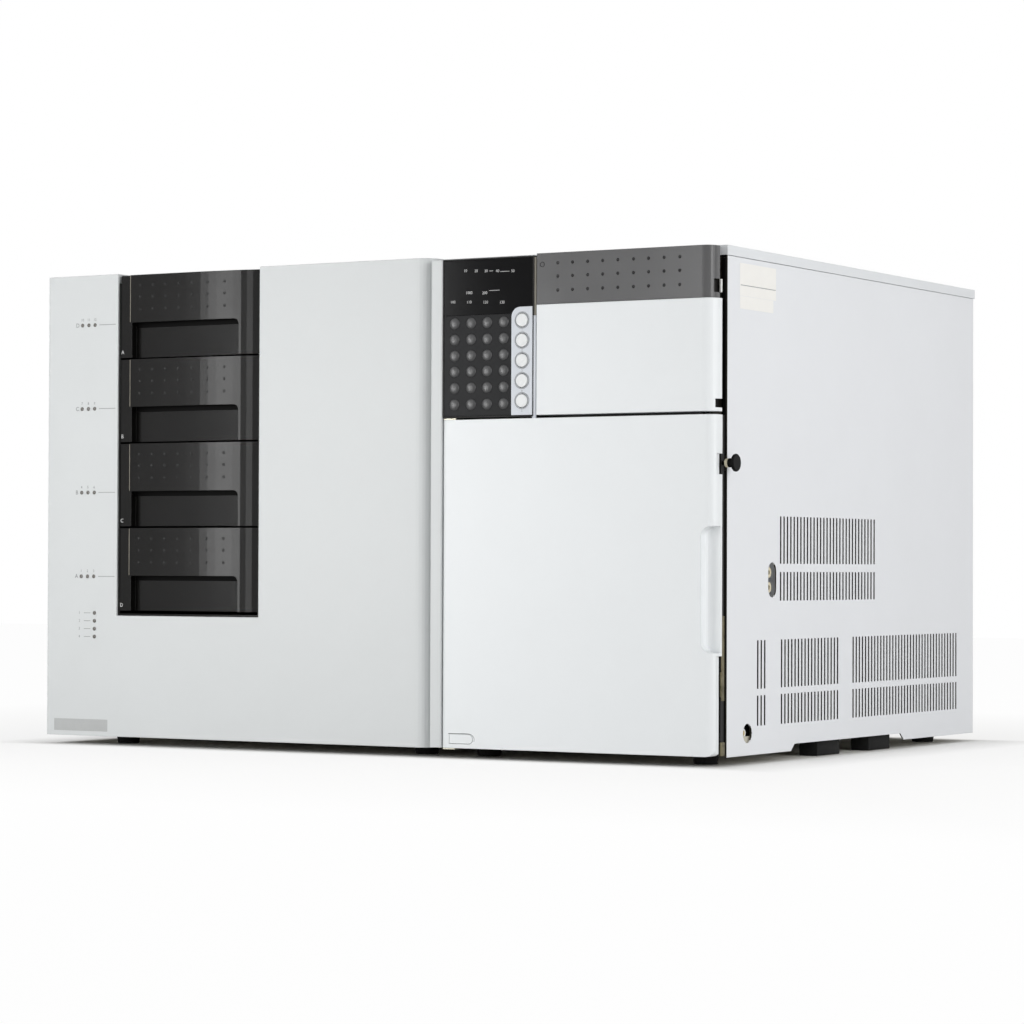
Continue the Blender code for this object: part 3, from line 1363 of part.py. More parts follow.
def power(metal):
    """The power supply on the base pan, with its inlet in the rear wall's opening."""
    x = (left_x(SUPPLY_LEFT), left_x(SUPPLY_LEFT) + SUPPLY_WIDTH)
    low = PAN_BOTTOM + PAN_THICKNESS + GAP
    wall_rear = SIDE_REAR - SHEET
    back = wall_rear - SHEET - GAP
    supply = block(x, (back - SUPPLY_LENGTH, back), (low, low + SUPPLY_HEIGHT))
    inlet_x = (left_x(INLET_LEFT) + GAP, left_x(INLET_LEFT) + INLET_WIDTH - GAP)
    inlet_z = (INLET_Z - INLET_HEIGHT / 2 + GAP, INLET_Z + INLET_HEIGHT / 2 - GAP)
    socket = block(inlet_x, (back - BOND, wall_rear), inlet_z)
    well = block(
        (inlet_x[0] + INLET_WALL, inlet_x[1] - INLET_WALL),
        (wall_rear - INLET_WELL, wall_rear + OVERRUN),
        (inlet_z[0] + INLET_WALL, inlet_z[1] - INLET_WALL),
    )
    body = cut(weld(supply, socket), well)
    centre = (inlet_x[0] + inlet_x[1]) / 2
    blades = []
    blade_y = (wall_rear - INLET_WELL - BOND, wall_rear - INLET_WALL)
    blade_z = (INLET_Z - BLADE_WIDTH, INLET_Z + BLADE_WIDTH)
    for step in (-1, 0, 1):
        left = centre + step * BLADE_SPACING - BLADE_WIDTH / 2
        blades.append(block((left, left + BLADE_WIDTH), blade_y, blade_z))
    finish(weld(body, *blades), "power_supply", metal)


def rack_casing(white, zinc):
    side = RACK_LEFT + COVER_SIDE_OVERHANG
    finish(side_panel(side, 1, []), "rack_left_panel", white)
    finish(side_panel(RACK_RIGHT, -1, [port_hole()]), "rack_right_panel", white)
    rear = slots(
        [(REAR_VENT_INSET, REAR_VENTS)], [REAR_VENT_ROW], RACK_LEFT, REAR_VENT_WIDTH, REAR_VENT_PITCH
    )
    columns = (RACK_LEFT + RACK_FOOT_LEFT, RACK_RIGHT - FOOT_INSET_X)
    finish(chassis(side, RACK_RIGHT, rear, columns), "rack_chassis", zinc)
    finish(top_cover(RACK_LEFT, RACK_RIGHT), "rack_top_cover", white)


def lens_centres():
    """Three lenses beside each drawer, and the column of status lenses."""
    places = []
    for index in range(len(DRAWERS)):
        z = DRAWER_TOP - index * DRAWER_PITCH - LENS_DROP
        places += [(RACK_LEFT + x, z) for x in LENS_X]
    places += [(RACK_LEFT + STATUS_X, STATUS_FIRST_Z - index * STATUS_PITCH) for index in range(STATUS_COUNT)]
    return places


def bezel(white, lens):
    """The rack changer's front: hollow behind, open at the top over the drawers."""
    y = (depth(BEZEL_START), depth(BEZEL_BACK))
    x = (RACK_LEFT + COVER_SIDE_OVERHANG, RACK_RIGHT)
    top = OVERALL_HEIGHT
    outer = extrude(
        rounded(x, y, (BEZEL_LEFT_EDGE, BEZEL_EDGE, 0, 0), 8), "Z", BEZEL_BOTTOM, top
    )
    window = block(
        (WINDOW_X, WINDOW_END), (y[0] - OVERRUN, y[1] + OVERRUN), (WINDOW_BOTTOM, top + OVERRUN)
    )
    left, right = x[0] + BEZEL_WALL, x[1] - BEZEL_EDGE / 2
    low, high = BEZEL_BOTTOM + BEZEL_WALL, top - BEZEL_WALL
    hollow = extrude(
        [
            (left, low),
            (right, low),
            (right, high),
            (WINDOW_END + BEZEL_WALL, high),
            (WINDOW_END + BEZEL_WALL, WINDOW_BOTTOM - BEZEL_WALL),
            (WINDOW_X - BEZEL_WALL, WINDOW_BOTTOM - BEZEL_WALL),
            (WINDOW_X - BEZEL_WALL, high),
            (left, high),
        ],
        "Y",
        y[0] + BEZEL_WALL,
        y[1] + OVERRUN,
    )
    holes = [
        rod("Y", place, LENS_HOLE, y[0] - OVERRUN, y[0] + BEZEL_WALL + OVERRUN, TINY_ROUND)
        for place in lens_centres()
    ]
    finish(cut(outer, window, hollow, together(*holes)), "rack_bezel", white)
    indicator_board(y[0], lens)


def indicator_board(front, lens):
    """The board behind the bezel, with the small lamps that fill its holes."""
    x = (RACK_LEFT + LENS_X[0] - LAMP_MARGIN, RACK_LEFT + LENS_X[-1] + LAMP_MARGIN)
    z = (lens_centres()[-1][1] - LAMP_MARGIN, lens_centres()[0][1] + LAMP_MARGIN)
    near = front + LENS_LENGTH
    board = block(x, (near, near + LAMP_BOARD), z)
    lamps = [rod("Y", place, LENS_RADIUS, front, near + BOND, TINY_ROUND) for place in lens_centres()]
    rests = [
        rod("Y", (u, v), LENS_RADIUS, front + BEZEL_WALL + GAP, near + BOND, TINY_ROUND)
        for u in (x[0] + LENS_RADIUS + BOND, x[1] - LENS_RADIUS - BOND)
        for v in (z[0] + LENS_RADIUS + BOND, z[1] - LENS_RADIUS - BOND)
    ]
    finish(weld(board, *lamps, *rests), "indicator_board", lens)


def drawer_bottom(index):
    return DRAWER_TOP - (index + 1) * DRAWER_PITCH + DRAWER_SEAM


def drawer_bay(black):
    """The black surround of the drawers with its side walls, posts and runners."""
    left, right = WINDOW_X + GAP, WINDOW_END - GAP
    low = WINDOW_BOTTOM + GAP
    start, end = depth(BAY_START), depth(BAY_DEPTH)
    post_front = depth(BEZEL_BACK) + GAP
    bottom = low + BAY_WALL
    wall = block((left, left + BAY_WALL), (start, end), (low, SIDE_TOP))
    front = block((right - BAY_WALL, right), (start, post_front + POST_LENGTH), (low, SIDE_TOP))
    rear = block((right - BAY_WALL, right), (end - POST_LENGTH, end), (low, SIDE_TOP))
    floor = block((left + BOND, right - BOND), (start, end - BOND), (low - BOND / 2, bottom))
    parts = [front, rear, floor]
    for index in range(len(DRAWERS)):
        z = drawer_bottom(index) + RUNNER_Z
        for x in (
            (left + BAY_WALL - BOND, left + BAY_WALL + RUNNER_WIDTH),
            (right - BAY_WALL - RUNNER_WIDTH, right - BAY_WALL + BOND),
        ):
            parts.append(block(x, (post_front, end - BOND), (z, z + RUNNER_HEIGHT)))
    return finish(weld(wall, *parts), "drawer_bay", black)


def hood_outline():
    """The proud face of a drawer in plan: nearly flat, then bent back twice towards its right."""
    left, right = DRAWER_LEFT + HOOD_LEFT, DRAWER_RIGHT
    span = right - left
    back = FACE + DRAWER_BASE + DRAWER_BASE_THICKNESS / 2
    curve_shares = (
        (0.0, 0.06),
        (0.03, 0.0),
        (0.25, 0.0),
        (0.45, 0.01),
        (0.56, 0.03),
        (0.62, 0.07),
        (0.68, 0.14),
        (0.80, 0.31),
        (0.86, 0.41),
        (0.90, 0.52),
        (0.94, 0.69),
        (1.0, 1.0),
    )
    front = [(left + span * u, FACE + HOOD_PROUD * v) for u, v in curve_shares]
    return [*front, (right, back), (left, back)]


def drawer_front(index, black, carrier):
    """A drawer front: a base plate with a raised left margin, and a proud hood over the finger scoop."""
    low = drawer_bottom(index)
    high = low + DRAWER_PITCH - DRAWER_SEAM
    base_y = (FACE + DRAWER_BASE, FACE + DRAWER_BASE + DRAWER_BASE_THICKNESS)
    hood_x = DRAWER_LEFT + HOOD_LEFT
    scoop_x = DRAWER_RIGHT - SCOOP_RIGHT
    scoop_z = high - HOOD_DROP
    hood = extrude(hood_outline(), "Z", low, high)
    scoop = extrude(
        rounded(
            (hood_x - OVERRUN, scoop_x), (low - OVERRUN, scoop_z), (0, 0, SCOOP_CORNER, 0)
        ),
        "Y",
        FRONT - OVERRUN,
        base_y[0] + BOND,
    )
    pocket = block(
        (hood_x + HOOD_LIP, scoop_x - SCOOP_CORNER),
        (FACE + HOOD_LIP + HOOD_PROUD * POCKET_SHARE, base_y[0] + BOND),
        (scoop_z - OVERRUN, scoop_z + HOOD_POCKET),
    )
    hood = cut(hood, scoop, pocket)
    base = block((DRAWER_LEFT, DRAWER_RIGHT - BOND), base_y, (low + BOND, high - BOND))
    margin = block(
        (DRAWER_LEFT + BOND / 2, hood_x + BOND),
        (FACE + MARGIN_DEPTH, base_y[1] - BOND),
        (low + BOND / 2, high - BOND / 2),
    )
    return finish(weld(base, hood, margin), f"drawer_front_{DRAWERS[index]}", black, carrier)


def drawer_tray(index, metal, carrier):
    """A sheet tray for three plates, with side rails that reach back along the runners."""
    low = drawer_bottom(index) + TRAY_BOTTOM
    high = drawer_bottom(index) + RUNNER_Z + RUNNER_HEIGHT + GAP + TRAY_SHEET
    y = (FACE + DRAWER_BASE + DRAWER_BASE_THICKNESS + GAP, depth(TRAY_START + TRAY_LENGTH))
    tail = depth(TRAY_START + TRAY_TAIL)
    x = (TRAY_LEFT, TRAY_RIGHT)
    top = low + TRAY_SHEET
    pan = block(x, y, (low, top))
    parts = []
    for near, inward in ((x[0], 1), (x[1], -1)):
        side_x = sorted((near, near + inward * TRAY_SHEET))
        parts.append(block(side_x, (y[0], tail), (low + BOND, high)))
        rail_x = sorted((near - inward * TRAY_FLANGE, near + inward * BOND))
        parts.append(block(rail_x, (y[0] + BOND, tail), (high - TRAY_SHEET, high - BOND)))
    bay = (y[1] - y[0] - TRAY_RIB) / TRAY_BAYS
    for number in range(TRAY_BAYS + 1):
        rib_y = y[0] + number * bay
        tall = FRONT_WALL if number == 0 else TRAY_RIB_HEIGHT
        parts.append(
            block((x[0] + BOND, x[1] - BOND), (rib_y + BOND / 2, rib_y + TRAY_RIB), (top - BOND, top + tall))
        )
    return finish(weld(pan, *parts), f"drawer_tray_{DRAWERS[index]}", metal, carrier)


def drawers(black, metal):
    for index, letter in enumerate(DRAWERS):
        slide = pivot(f"drawer_{letter}_pivot", (DRAWER_LEFT, FRONT, drawer_bottom(index)))
        drawer_front(index, black, slide)
        drawer_tray(index, metal, slide)


def elevator(metal, dark, steel):
    """Two upright rods with the carriage, and the shuttle and arm that pass plates sideways."""
    xs = [RACK_RIGHT - offset for offset in ELEVATOR_RODS]
    y = depth(ELEVATOR_ROD_Y)
    span = (min(xs) - ELEVATOR_MARGIN, max(xs) + ELEVATOR_MARGIN)
    half = ELEVATOR_BLOCK_DEPTH / 2
    low = PAN_BOTTOM + PAN_THICKNESS + GAP
    base_low = ELEVATOR_BASE_TOP - ELEVATOR_BASE_THICKNESS
    base = block(span, (y - half, y + half), (base_low, ELEVATOR_BASE_TOP))
    leg = ELEVATOR_BASE_THICKNESS
    legs = [
        block((span[0] + BOND, span[0] + leg), (y - half + BOND, y + half - BOND), (low, base_low + BOND)),
        block((span[1] - leg, span[1] - BOND), (y - half + BOND, y + half - BOND), (low, base_low + BOND)),
    ]
    top = block(span, (y - half, y + half), (ELEVATOR_TOP - ELEVATOR_TOP_THICKNESS, ELEVATOR_TOP))
    rods = [
        rod(
            "Z",
            (x, y),
            ELEVATOR_ROD_RADIUS,
            ELEVATOR_BASE_TOP - BOND,
            ELEVATOR_TOP - ELEVATOR_TOP_THICKNESS + BOND,
        )
        for x in xs
    ]
    finish(weld(base, *legs, top, *rods), "elevator_frame", steel)
    lift = pivot("elevator_carriage_pivot", (sum(xs) / 2, y, ELEVATOR_BLOCK_BOTTOM))
    body = block(span, (y - half, y + half), (ELEVATOR_BLOCK_BOTTOM, ELEVATOR_BLOCK_TOP))
    centre = sum(xs) / 2
    table_x = (centre - TABLE_WIDTH / 2, centre + TABLE_WIDTH / 2)
    table = block(table_x, (depth(TABLE_START), y - half + BOND), (TABLE_TOP - TABLE_THICKNESS, TABLE_TOP))
    gusset_z = (ELEVATOR_BLOCK_BOTTOM + BOND, TABLE_TOP - TABLE_THICKNESS + BOND)
    gusset = extrude(
        [
            (y - half + BOND, gusset_z[0]),
            (y - half + BOND, gusset_z[1]),
            (depth(TABLE_START) + TABLE_WIDTH, gusset_z[1]),
        ],
        "X",
        centre - TABLE_THICKNESS,
        centre + TABLE_THICKNESS,
    )
    bores = [
        rod("Z", (x, y), ELEVATOR_ROD_BORE, ELEVATOR_BLOCK_BOTTOM - OVERRUN, ELEVATOR_BLOCK_TOP + OVERRUN)
        for x in xs
    ]
    finish(cut(weld(body, table, gusset), *bores), "elevator_carriage", dark, lift)
    transfer(centre, table_x, lift, metal, dark)


def transfer(centre, table_x, lift, metal, dark):
    """The shuttle on the carriage's table, and the arm that slides left and right on it."""
    y = (depth(SHUTTLE_Y) - SHUTTLE_LENGTH / 2, depth(SHUTTLE_Y) + SHUTTLE_LENGTH / 2)
    shuttle_place = pivot("arm_shuttle_pivot", (centre, depth(SHUTTLE_Y), TABLE_TOP), lift)
    low = TABLE_TOP + GAP
    high = low + SHUTTLE_THICKNESS
    x = (centre - SHUTTLE_WIDTH / 2, centre + SHUTTLE_WIDTH / 2)
    plate = block(x, y, (low, high))
    skirts = [
        block((x[0], table_x[0] - GAP), (y[0] + BOND, y[1] - BOND), (low - SHUTTLE_SKIRT, low + BOND)),
        block((table_x[1] + GAP, x[1]), (y[0] + BOND, y[1] - BOND), (low - SHUTTLE_SKIRT, low + BOND)),
    ]
    arm_y = (depth(SHUTTLE_Y) - ARM_PLATE_WIDTH / 2, depth(SHUTTLE_Y) + ARM_PLATE_WIDTH / 2)
    guides = [
        block(
            (x[0] + BOND, x[1] - BOND),
            (arm_y[0] - GAP - SHUTTLE_GUIDE, arm_y[0] - GAP),
            (high - BOND, high + SHUTTLE_GUIDE_HEIGHT),
        ),
        block(
            (x[0] + BOND, x[1] - BOND),
            (arm_y[1] + GAP, arm_y[1] + GAP + SHUTTLE_GUIDE),
            (high - BOND, high + SHUTTLE_GUIDE_HEIGHT),
        ),
    ]
    finish(weld(plate, *skirts, *guides), "arm_shuttle", dark, shuttle_place)
    arm_place = pivot("transfer_arm_pivot", (centre, depth(SHUTTLE_Y), high), shuttle_place)
    arm_x = (centre - ARM_LENGTH / 2, centre + ARM_LENGTH / 2)
    arm_low = high + GAP
    arm_high = arm_low + ARM_PLATE_THICKNESS
    middle = (arm_y[0] + arm_y[1]) / 2
    slot = ARM_PLATE_WIDTH * ARM_SLOT_SHARE / 2
    opening = rounded((arm_x[0] + ARM_SLOT_INSET, arm_x[1] - ARM_SLOT_INSET), (middle - slot, middle + slot))
    arm = extrude(rounded(arm_x, arm_y), "Z", arm_low, arm_high, [opening])
    tab_y = (arm_y[0] + BOND, arm_y[1] - BOND)
    tab_z = (arm_high - BOND, arm_high + ARM_TAB_HEIGHT)
    tabs = [block((u, u + ARM_TAB), tab_y, tab_z) for u in (arm_x[0], arm_x[1] - ARM_TAB)]
    finish(weld(arm, *tabs), "transfer_arm", metal, arm_place)


def main():
    clear_scene()
    white = material("white_coat", (0.86, 0.87, 0.88), 0.45)
    grey_white = material("panel_coat", (0.78, 0.80, 0.82), 0.5)
    dark = material("dark_plastic", (0.05, 0.05, 0.055), 0.5)
    drawer_black = material("drawer_black", (0.035, 0.035, 0.037), 0.35)
    band = material("band_grey", (0.14, 0.14, 0.145), 0.4)
    glass = material("display_black", (0.012, 0.012, 0.013), 0.12)
    keypad = material("keypad_grey", (0.06, 0.062, 0.065), 0.45)
    zinc = material("zinc_plate", (0.42, 0.39, 0.28), 0.35, 1.0)
    metal = material("bare_metal", (0.6, 0.61, 0.62), 0.3, 1.0)
    steel = material("ground_steel", (0.55, 0.55, 0.56), 0.22, 1.0)
    cream = material("cream_fitting", (0.72, 0.68, 0.55), 0.4)
    liner = material("liner_grey", (0.62, 0.64, 0.66), 0.5)
    board = material("board_green", (0.05, 0.16, 0.08), 0.45)
    lens = material("lens_grey", (0.35, 0.36, 0.36), 0.25)
    module_casing(grey_white, zinc)
    front_frame(dark)
    left_trim(white)
    sample_chamber(liner)
    lower_door(white, liner, zinc)
    upper_cover(white, band, dark)
    control_panel(dark, glass, keypad, white, board)
    side_knob(dark)
    side_fittings(cream)
    sample_rack(metal, white)
    gantry(steel, dark, liner)
    upper_bay(metal, dark)
    cooling(metal, dark)
    power(metal)
    rack_casing(grey_white, zinc)
    bezel(white, lens)
    drawer_bay(drawer_black)
    drawers(drawer_black, metal)
    elevator(metal, dark, steel)


main()
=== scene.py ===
import math
import bpy
from mathutils import Matrix, Vector


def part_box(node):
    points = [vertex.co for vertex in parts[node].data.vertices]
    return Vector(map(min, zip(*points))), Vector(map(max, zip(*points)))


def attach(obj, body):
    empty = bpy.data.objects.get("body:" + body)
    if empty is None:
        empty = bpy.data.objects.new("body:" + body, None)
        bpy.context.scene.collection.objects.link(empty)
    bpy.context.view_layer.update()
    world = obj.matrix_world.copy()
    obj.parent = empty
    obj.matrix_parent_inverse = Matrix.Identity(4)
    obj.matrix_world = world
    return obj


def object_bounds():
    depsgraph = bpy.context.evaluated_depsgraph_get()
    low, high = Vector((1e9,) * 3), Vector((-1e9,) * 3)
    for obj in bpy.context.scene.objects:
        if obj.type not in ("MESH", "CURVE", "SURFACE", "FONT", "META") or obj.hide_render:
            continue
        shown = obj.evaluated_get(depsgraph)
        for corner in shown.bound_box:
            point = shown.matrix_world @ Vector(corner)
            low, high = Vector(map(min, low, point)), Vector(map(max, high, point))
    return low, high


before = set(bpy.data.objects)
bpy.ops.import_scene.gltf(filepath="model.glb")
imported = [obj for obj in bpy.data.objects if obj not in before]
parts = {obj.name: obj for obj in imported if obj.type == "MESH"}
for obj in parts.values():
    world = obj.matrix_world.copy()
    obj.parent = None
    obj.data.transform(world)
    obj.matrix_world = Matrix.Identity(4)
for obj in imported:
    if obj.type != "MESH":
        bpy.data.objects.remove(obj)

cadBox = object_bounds()
print("frame loaded,", len(parts), "parts")

# working frame, in millimetres: across from the right side panel's outer face, back from a plane a little before
# that panel's edge, and up from a level a little under the door
frameStart = dict(beforePanel=22.5, underDoor=15.5)
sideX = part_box("module_right_panel")[1].x
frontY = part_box("module_right_panel")[0].y - frameStart["beforePanel"] / 1000
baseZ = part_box("lower_door")[0].z - frameStart["underDoor"] / 1000


def spot(across, back, up):
    return Vector((sideX + across / 1000, frontY + back / 1000, baseZ + up / 1000))


def touch(part, across, up, towards=(0, 1, 0), reach=400):
    # where a line from outside meets a part, and which way its surface faces there
    way = Vector(towards)
    hit, place, normal, face = parts[part].ray_cast(spot(across, 0, up) - way * reach / 1000, way)
    return (place, normal) if hit else (None, None)


def pickNothing():
    if bpy.context.mode != "OBJECT":
        bpy.ops.object.mode_set(mode="OBJECT")
    bpy.ops.object.select_all(action="DESELECT")


def pickOnly(piece):
    pickNothing()
    piece.select_set(True)
    bpy.context.view_layer.objects.active = piece


def pickFaces(piece, test):
    # selects the faces that pass the test, and leaves the piece in edit mode
    pickOnly(piece)
    bpy.ops.object.mode_set(mode="EDIT")
    bpy.ops.mesh.select_mode(type="FACE")
    bpy.ops.mesh.select_all(action="DESELECT")
    bpy.ops.object.mode_set(mode="OBJECT")
    for face in piece.data.polygons:
        face.select = test(face)
    bpy.ops.object.mode_set(mode="EDIT")


def settle(piece, smooth=35):
    # the place goes into the mesh, so the object sits at the origin
    pickOnly(piece)
    bpy.ops.object.transform_apply(location=True, rotation=True, scale=True)
    if smooth:
        bpy.ops.object.shade_smooth_by_angle(angle=math.radians(smooth))
    return piece


def bevelled(piece, width, steps=2):
    pickOnly(piece)
    rounder = piece.modifiers.new("rounder", "BEVEL")
    rounder.width = width / 1000
    rounder.segments = steps
    rounder.limit_method = "ANGLE"
    bpy.ops.object.modifier_apply(modifier=rounder.name)
    return piece


def copyAt(piece, place, facing=None):
    twin = piece.copy()
    twin.data = piece.data.copy()
    bpy.context.collection.objects.link(twin)
    turn = facing.to_track_quat("Z", "Y").to_matrix().to_4x4() if facing else Matrix.Identity(4)
    twin.data.transform(Matrix.Translation(place) @ turn)
    return twin


def joinAs(name, pieces):
    pickNothing()
    for piece in pieces:
        piece.select_set(True)
    bpy.context.view_layer.objects.active = pieces[0]
    if len(pieces) > 1:
        bpy.ops.object.join()
    joined = bpy.context.view_layer.objects.active
    joined.name = name
    joined.data.name = name
    return joined


def dress(piece, finish, body):
    piece.data.materials.clear()
    piece.data.materials.append(finishes[finish])
    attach(piece, body)
    return piece


def slab(low, high, round=0.3, steps=2):
    # a plate or block between two corners in the working frame, with its edges rounded
    low, high = spot(*low), spot(*high)
    pickNothing()
    bpy.ops.mesh.primitive_cube_add(size=1, location=(low + high) / 2)
    block = bpy.context.object
    block.scale = high - low
    settle(block, 0)
    bevelled(block, round, steps)
    pickOnly(block)
    bpy.ops.object.shade_smooth_by_angle(angle=math.radians(35))
    return block


def startFinish(name, look):
    # a new material with its plain values set, ready for patterns
    finish = bpy.data.materials.new(name)
    finish.use_nodes = True
    tree = finish.node_tree
    shader = tree.nodes["Principled BSDF"]
    shader.inputs["Metallic"].default_value = look.get("metal", 0)
    shader.inputs["Roughness"].default_value = look["rough"]
    shader.inputs["Coat Weight"].default_value = look.get("coat", 0)
    shader.inputs["Coat Roughness"].default_value = 0.1
    shader.inputs["Specular IOR Level"].default_value = look.get("specular", 0.5)
    place = tree.nodes.new("ShaderNodeTexCoord")
    return finish, tree, shader, place


def addPattern(tree, place, size, stretch=(1, 1, 1), detail=3, rough=0.6):
    # noise whose grains are about the given size in millimetres
    mapping = tree.nodes.new("ShaderNodeMapping")
    mapping.inputs["Scale"].default_value = stretch
    tree.links.new(place.outputs["Object"], mapping.inputs["Vector"])
    noise = tree.nodes.new("ShaderNodeTexNoise")
    noise.inputs["Scale"].default_value = 1000 / size
    noise.inputs["Detail"].default_value = detail
    noise.inputs["Roughness"].default_value = rough
    tree.links.new(mapping.outputs["Vector"], noise.inputs["Vector"])
    return noise.outputs["Fac"]


def addRamp(tree, factor, stops):
    ramp = tree.nodes.new("ShaderNodeValToRGB")
    while len(ramp.color_ramp.elements) < len(stops):
        ramp.color_ramp.elements.new(0.5)
    for element, (place, colour) in zip(ramp.color_ramp.elements, stops):
        element.position = place
        element.color = (*colour, 1)
    tree.links.new(factor, ramp.inputs["Fac"])
    return ramp.outputs["Color"]


def addSpread(tree, factor, low, high):
    spread = tree.nodes.new("ShaderNodeMapRange")
    spread.inputs["To Min"].default_value = low
    spread.inputs["To Max"].default_value = high
    tree.links.new(factor, spread.inputs["Value"])
    return spread.outputs["Result"]


def addMath(tree, kind, first, second=None, clamp=False):
    node = tree.nodes.new("ShaderNodeMath")
    node.operation = kind
    node.use_clamp = clamp
    for port, value in zip(node.inputs, (first, second)):
        if isinstance(value, (int, float)):
            port.default_value = value
        elif value is not None:
            tree.links.new(value, port)
    return node.outputs[0]


def addProduct(tree, first, second):
    mix = tree.nodes.new("ShaderNodeMix")
    mix.data_type = "RGBA"
    mix.blend_type = "MULTIPLY"
    mix.inputs["Factor"].default_value = 1
    ports = [port for port in mix.inputs if port.type == "RGBA"]
    tree.links.new(first, ports[0])
    tree.links.new(second, ports[1])
    return [port for port in mix.outputs if port.type == "RGBA"][0]


def addRelief(tree, shader, layers, edge=0.5):
    # edges rounded by a fraction of a millimetre, then height patterns with their depths in millimetres
    rounding = tree.nodes.new("ShaderNodeBevel")
    rounding.samples = 4
    rounding.inputs["Radius"].default_value = edge / 1000
    before = rounding.outputs["Normal"]
    for height, depth in layers:
        bump = tree.nodes.new("ShaderNodeBump")
        bump.inputs["Distance"].default_value = depth / 1000
        bump.inputs["Strength"].default_value = 1
        tree.links.new(height, bump.inputs["Height"])
        tree.links.new(before, bump.inputs["Normal"])
        before = bump.outputs["Normal"]
    tree.links.new(before, shader.inputs["Normal"])


def shade(colour, factor):
    return tuple(min(channel * factor, 1) for channel in colour)


def addSlotShade(tree, place, tones):
    # slot walls and cut ends, which face forwards or back, get painted shade: a mottled dark brown that stands for
    # the shade inside the slots
    facing = tree.nodes.new("ShaderNodeNewGeometry")
    split = tree.nodes.new("ShaderNodeSeparateXYZ")
    tree.links.new(facing.outputs["True Normal"], split.inputs["Vector"])
    side = addMath(tree, "GREATER_THAN", addMath(tree, "ABSOLUTE", split.outputs["Y"]), 0.6)
    shadeMottle = addRamp(tree, addPattern(tree, place, 30, detail=4), [(0.35, tones[0]), (0.65, tones[1])])
    mix = tree.nodes.new("ShaderNodeMix")
    mix.data_type = "RGBA"
    ports = [port for port in mix.inputs if port.type == "RGBA"]
    ports[0].default_value = (1, 1, 1, 1)
    tree.links.new(shadeMottle, ports[1])
    tree.links.new(side, mix.inputs["Factor"])
    return [port for port in mix.outputs if port.type == "RGBA"][0]


def coatedFinish(name, look):
    # painted sheet or moulded plastic: a fine grain, faint clouds in the colour, uneven gloss
    finish, tree, shader, place = startFinish(name, look)
    clouds = addPattern(tree, place, look.get("cloudSize", 60), detail=4)
    specks = addPattern(tree, place, look["grainSize"], detail=2)
    tone = look["colour"]
    vary = look.get("vary", 0.03)
    base = addRamp(tree, clouds, [(0.3, shade(tone, 1 - vary)), (0.7, shade(tone, 1 + vary))])
    fine = addRamp(tree, specks, [(0.35, (1 - vary,) * 3), (0.65, (1, 1, 1))])
    paint = addProduct(tree, base, fine)
    # painted shade on the slot walls
    if "slotShadeTones" in look:
        paint = addProduct(tree, paint, addSlotShade(tree, place, look["slotShadeTones"]))
    tree.links.new(paint, shader.inputs["Base Color"])
    spread = look.get("glossSpread", 0.05)
    gloss = addSpread(tree, clouds, look["rough"] - spread, look["rough"] + spread)
    tree.links.new(gloss, shader.inputs["Roughness"])
    layers = [(specks, look["grainDepth"]), (clouds, look.get("waveDepth", 0.02))]
    addRelief(tree, shader, layers, look.get("edge", 0.5))
    return finish


def metalFinish(name, look):
    # rolled, brushed or plated metal: grain drawn out along one way, with stains in its colour
    finish, tree, shader, place = startFinish(name, look)
    draw = addPattern(tree, place, look["grainSize"], look["draw"], detail=4)
    stains = addPattern(tree, place, look["stainSize"], detail=5)
    tree.links.new(addRamp(tree, stains, look["stains"]), shader.inputs["Base Color"])
    gloss = addSpread(tree, draw, look["rough"] - 0.08, look["rough"] + 0.12)
    tree.links.new(gloss, shader.inputs["Roughness"])
    addRelief(tree, shader, [(draw, look["grainDepth"])], look.get("edge", 0.3))
    return finish


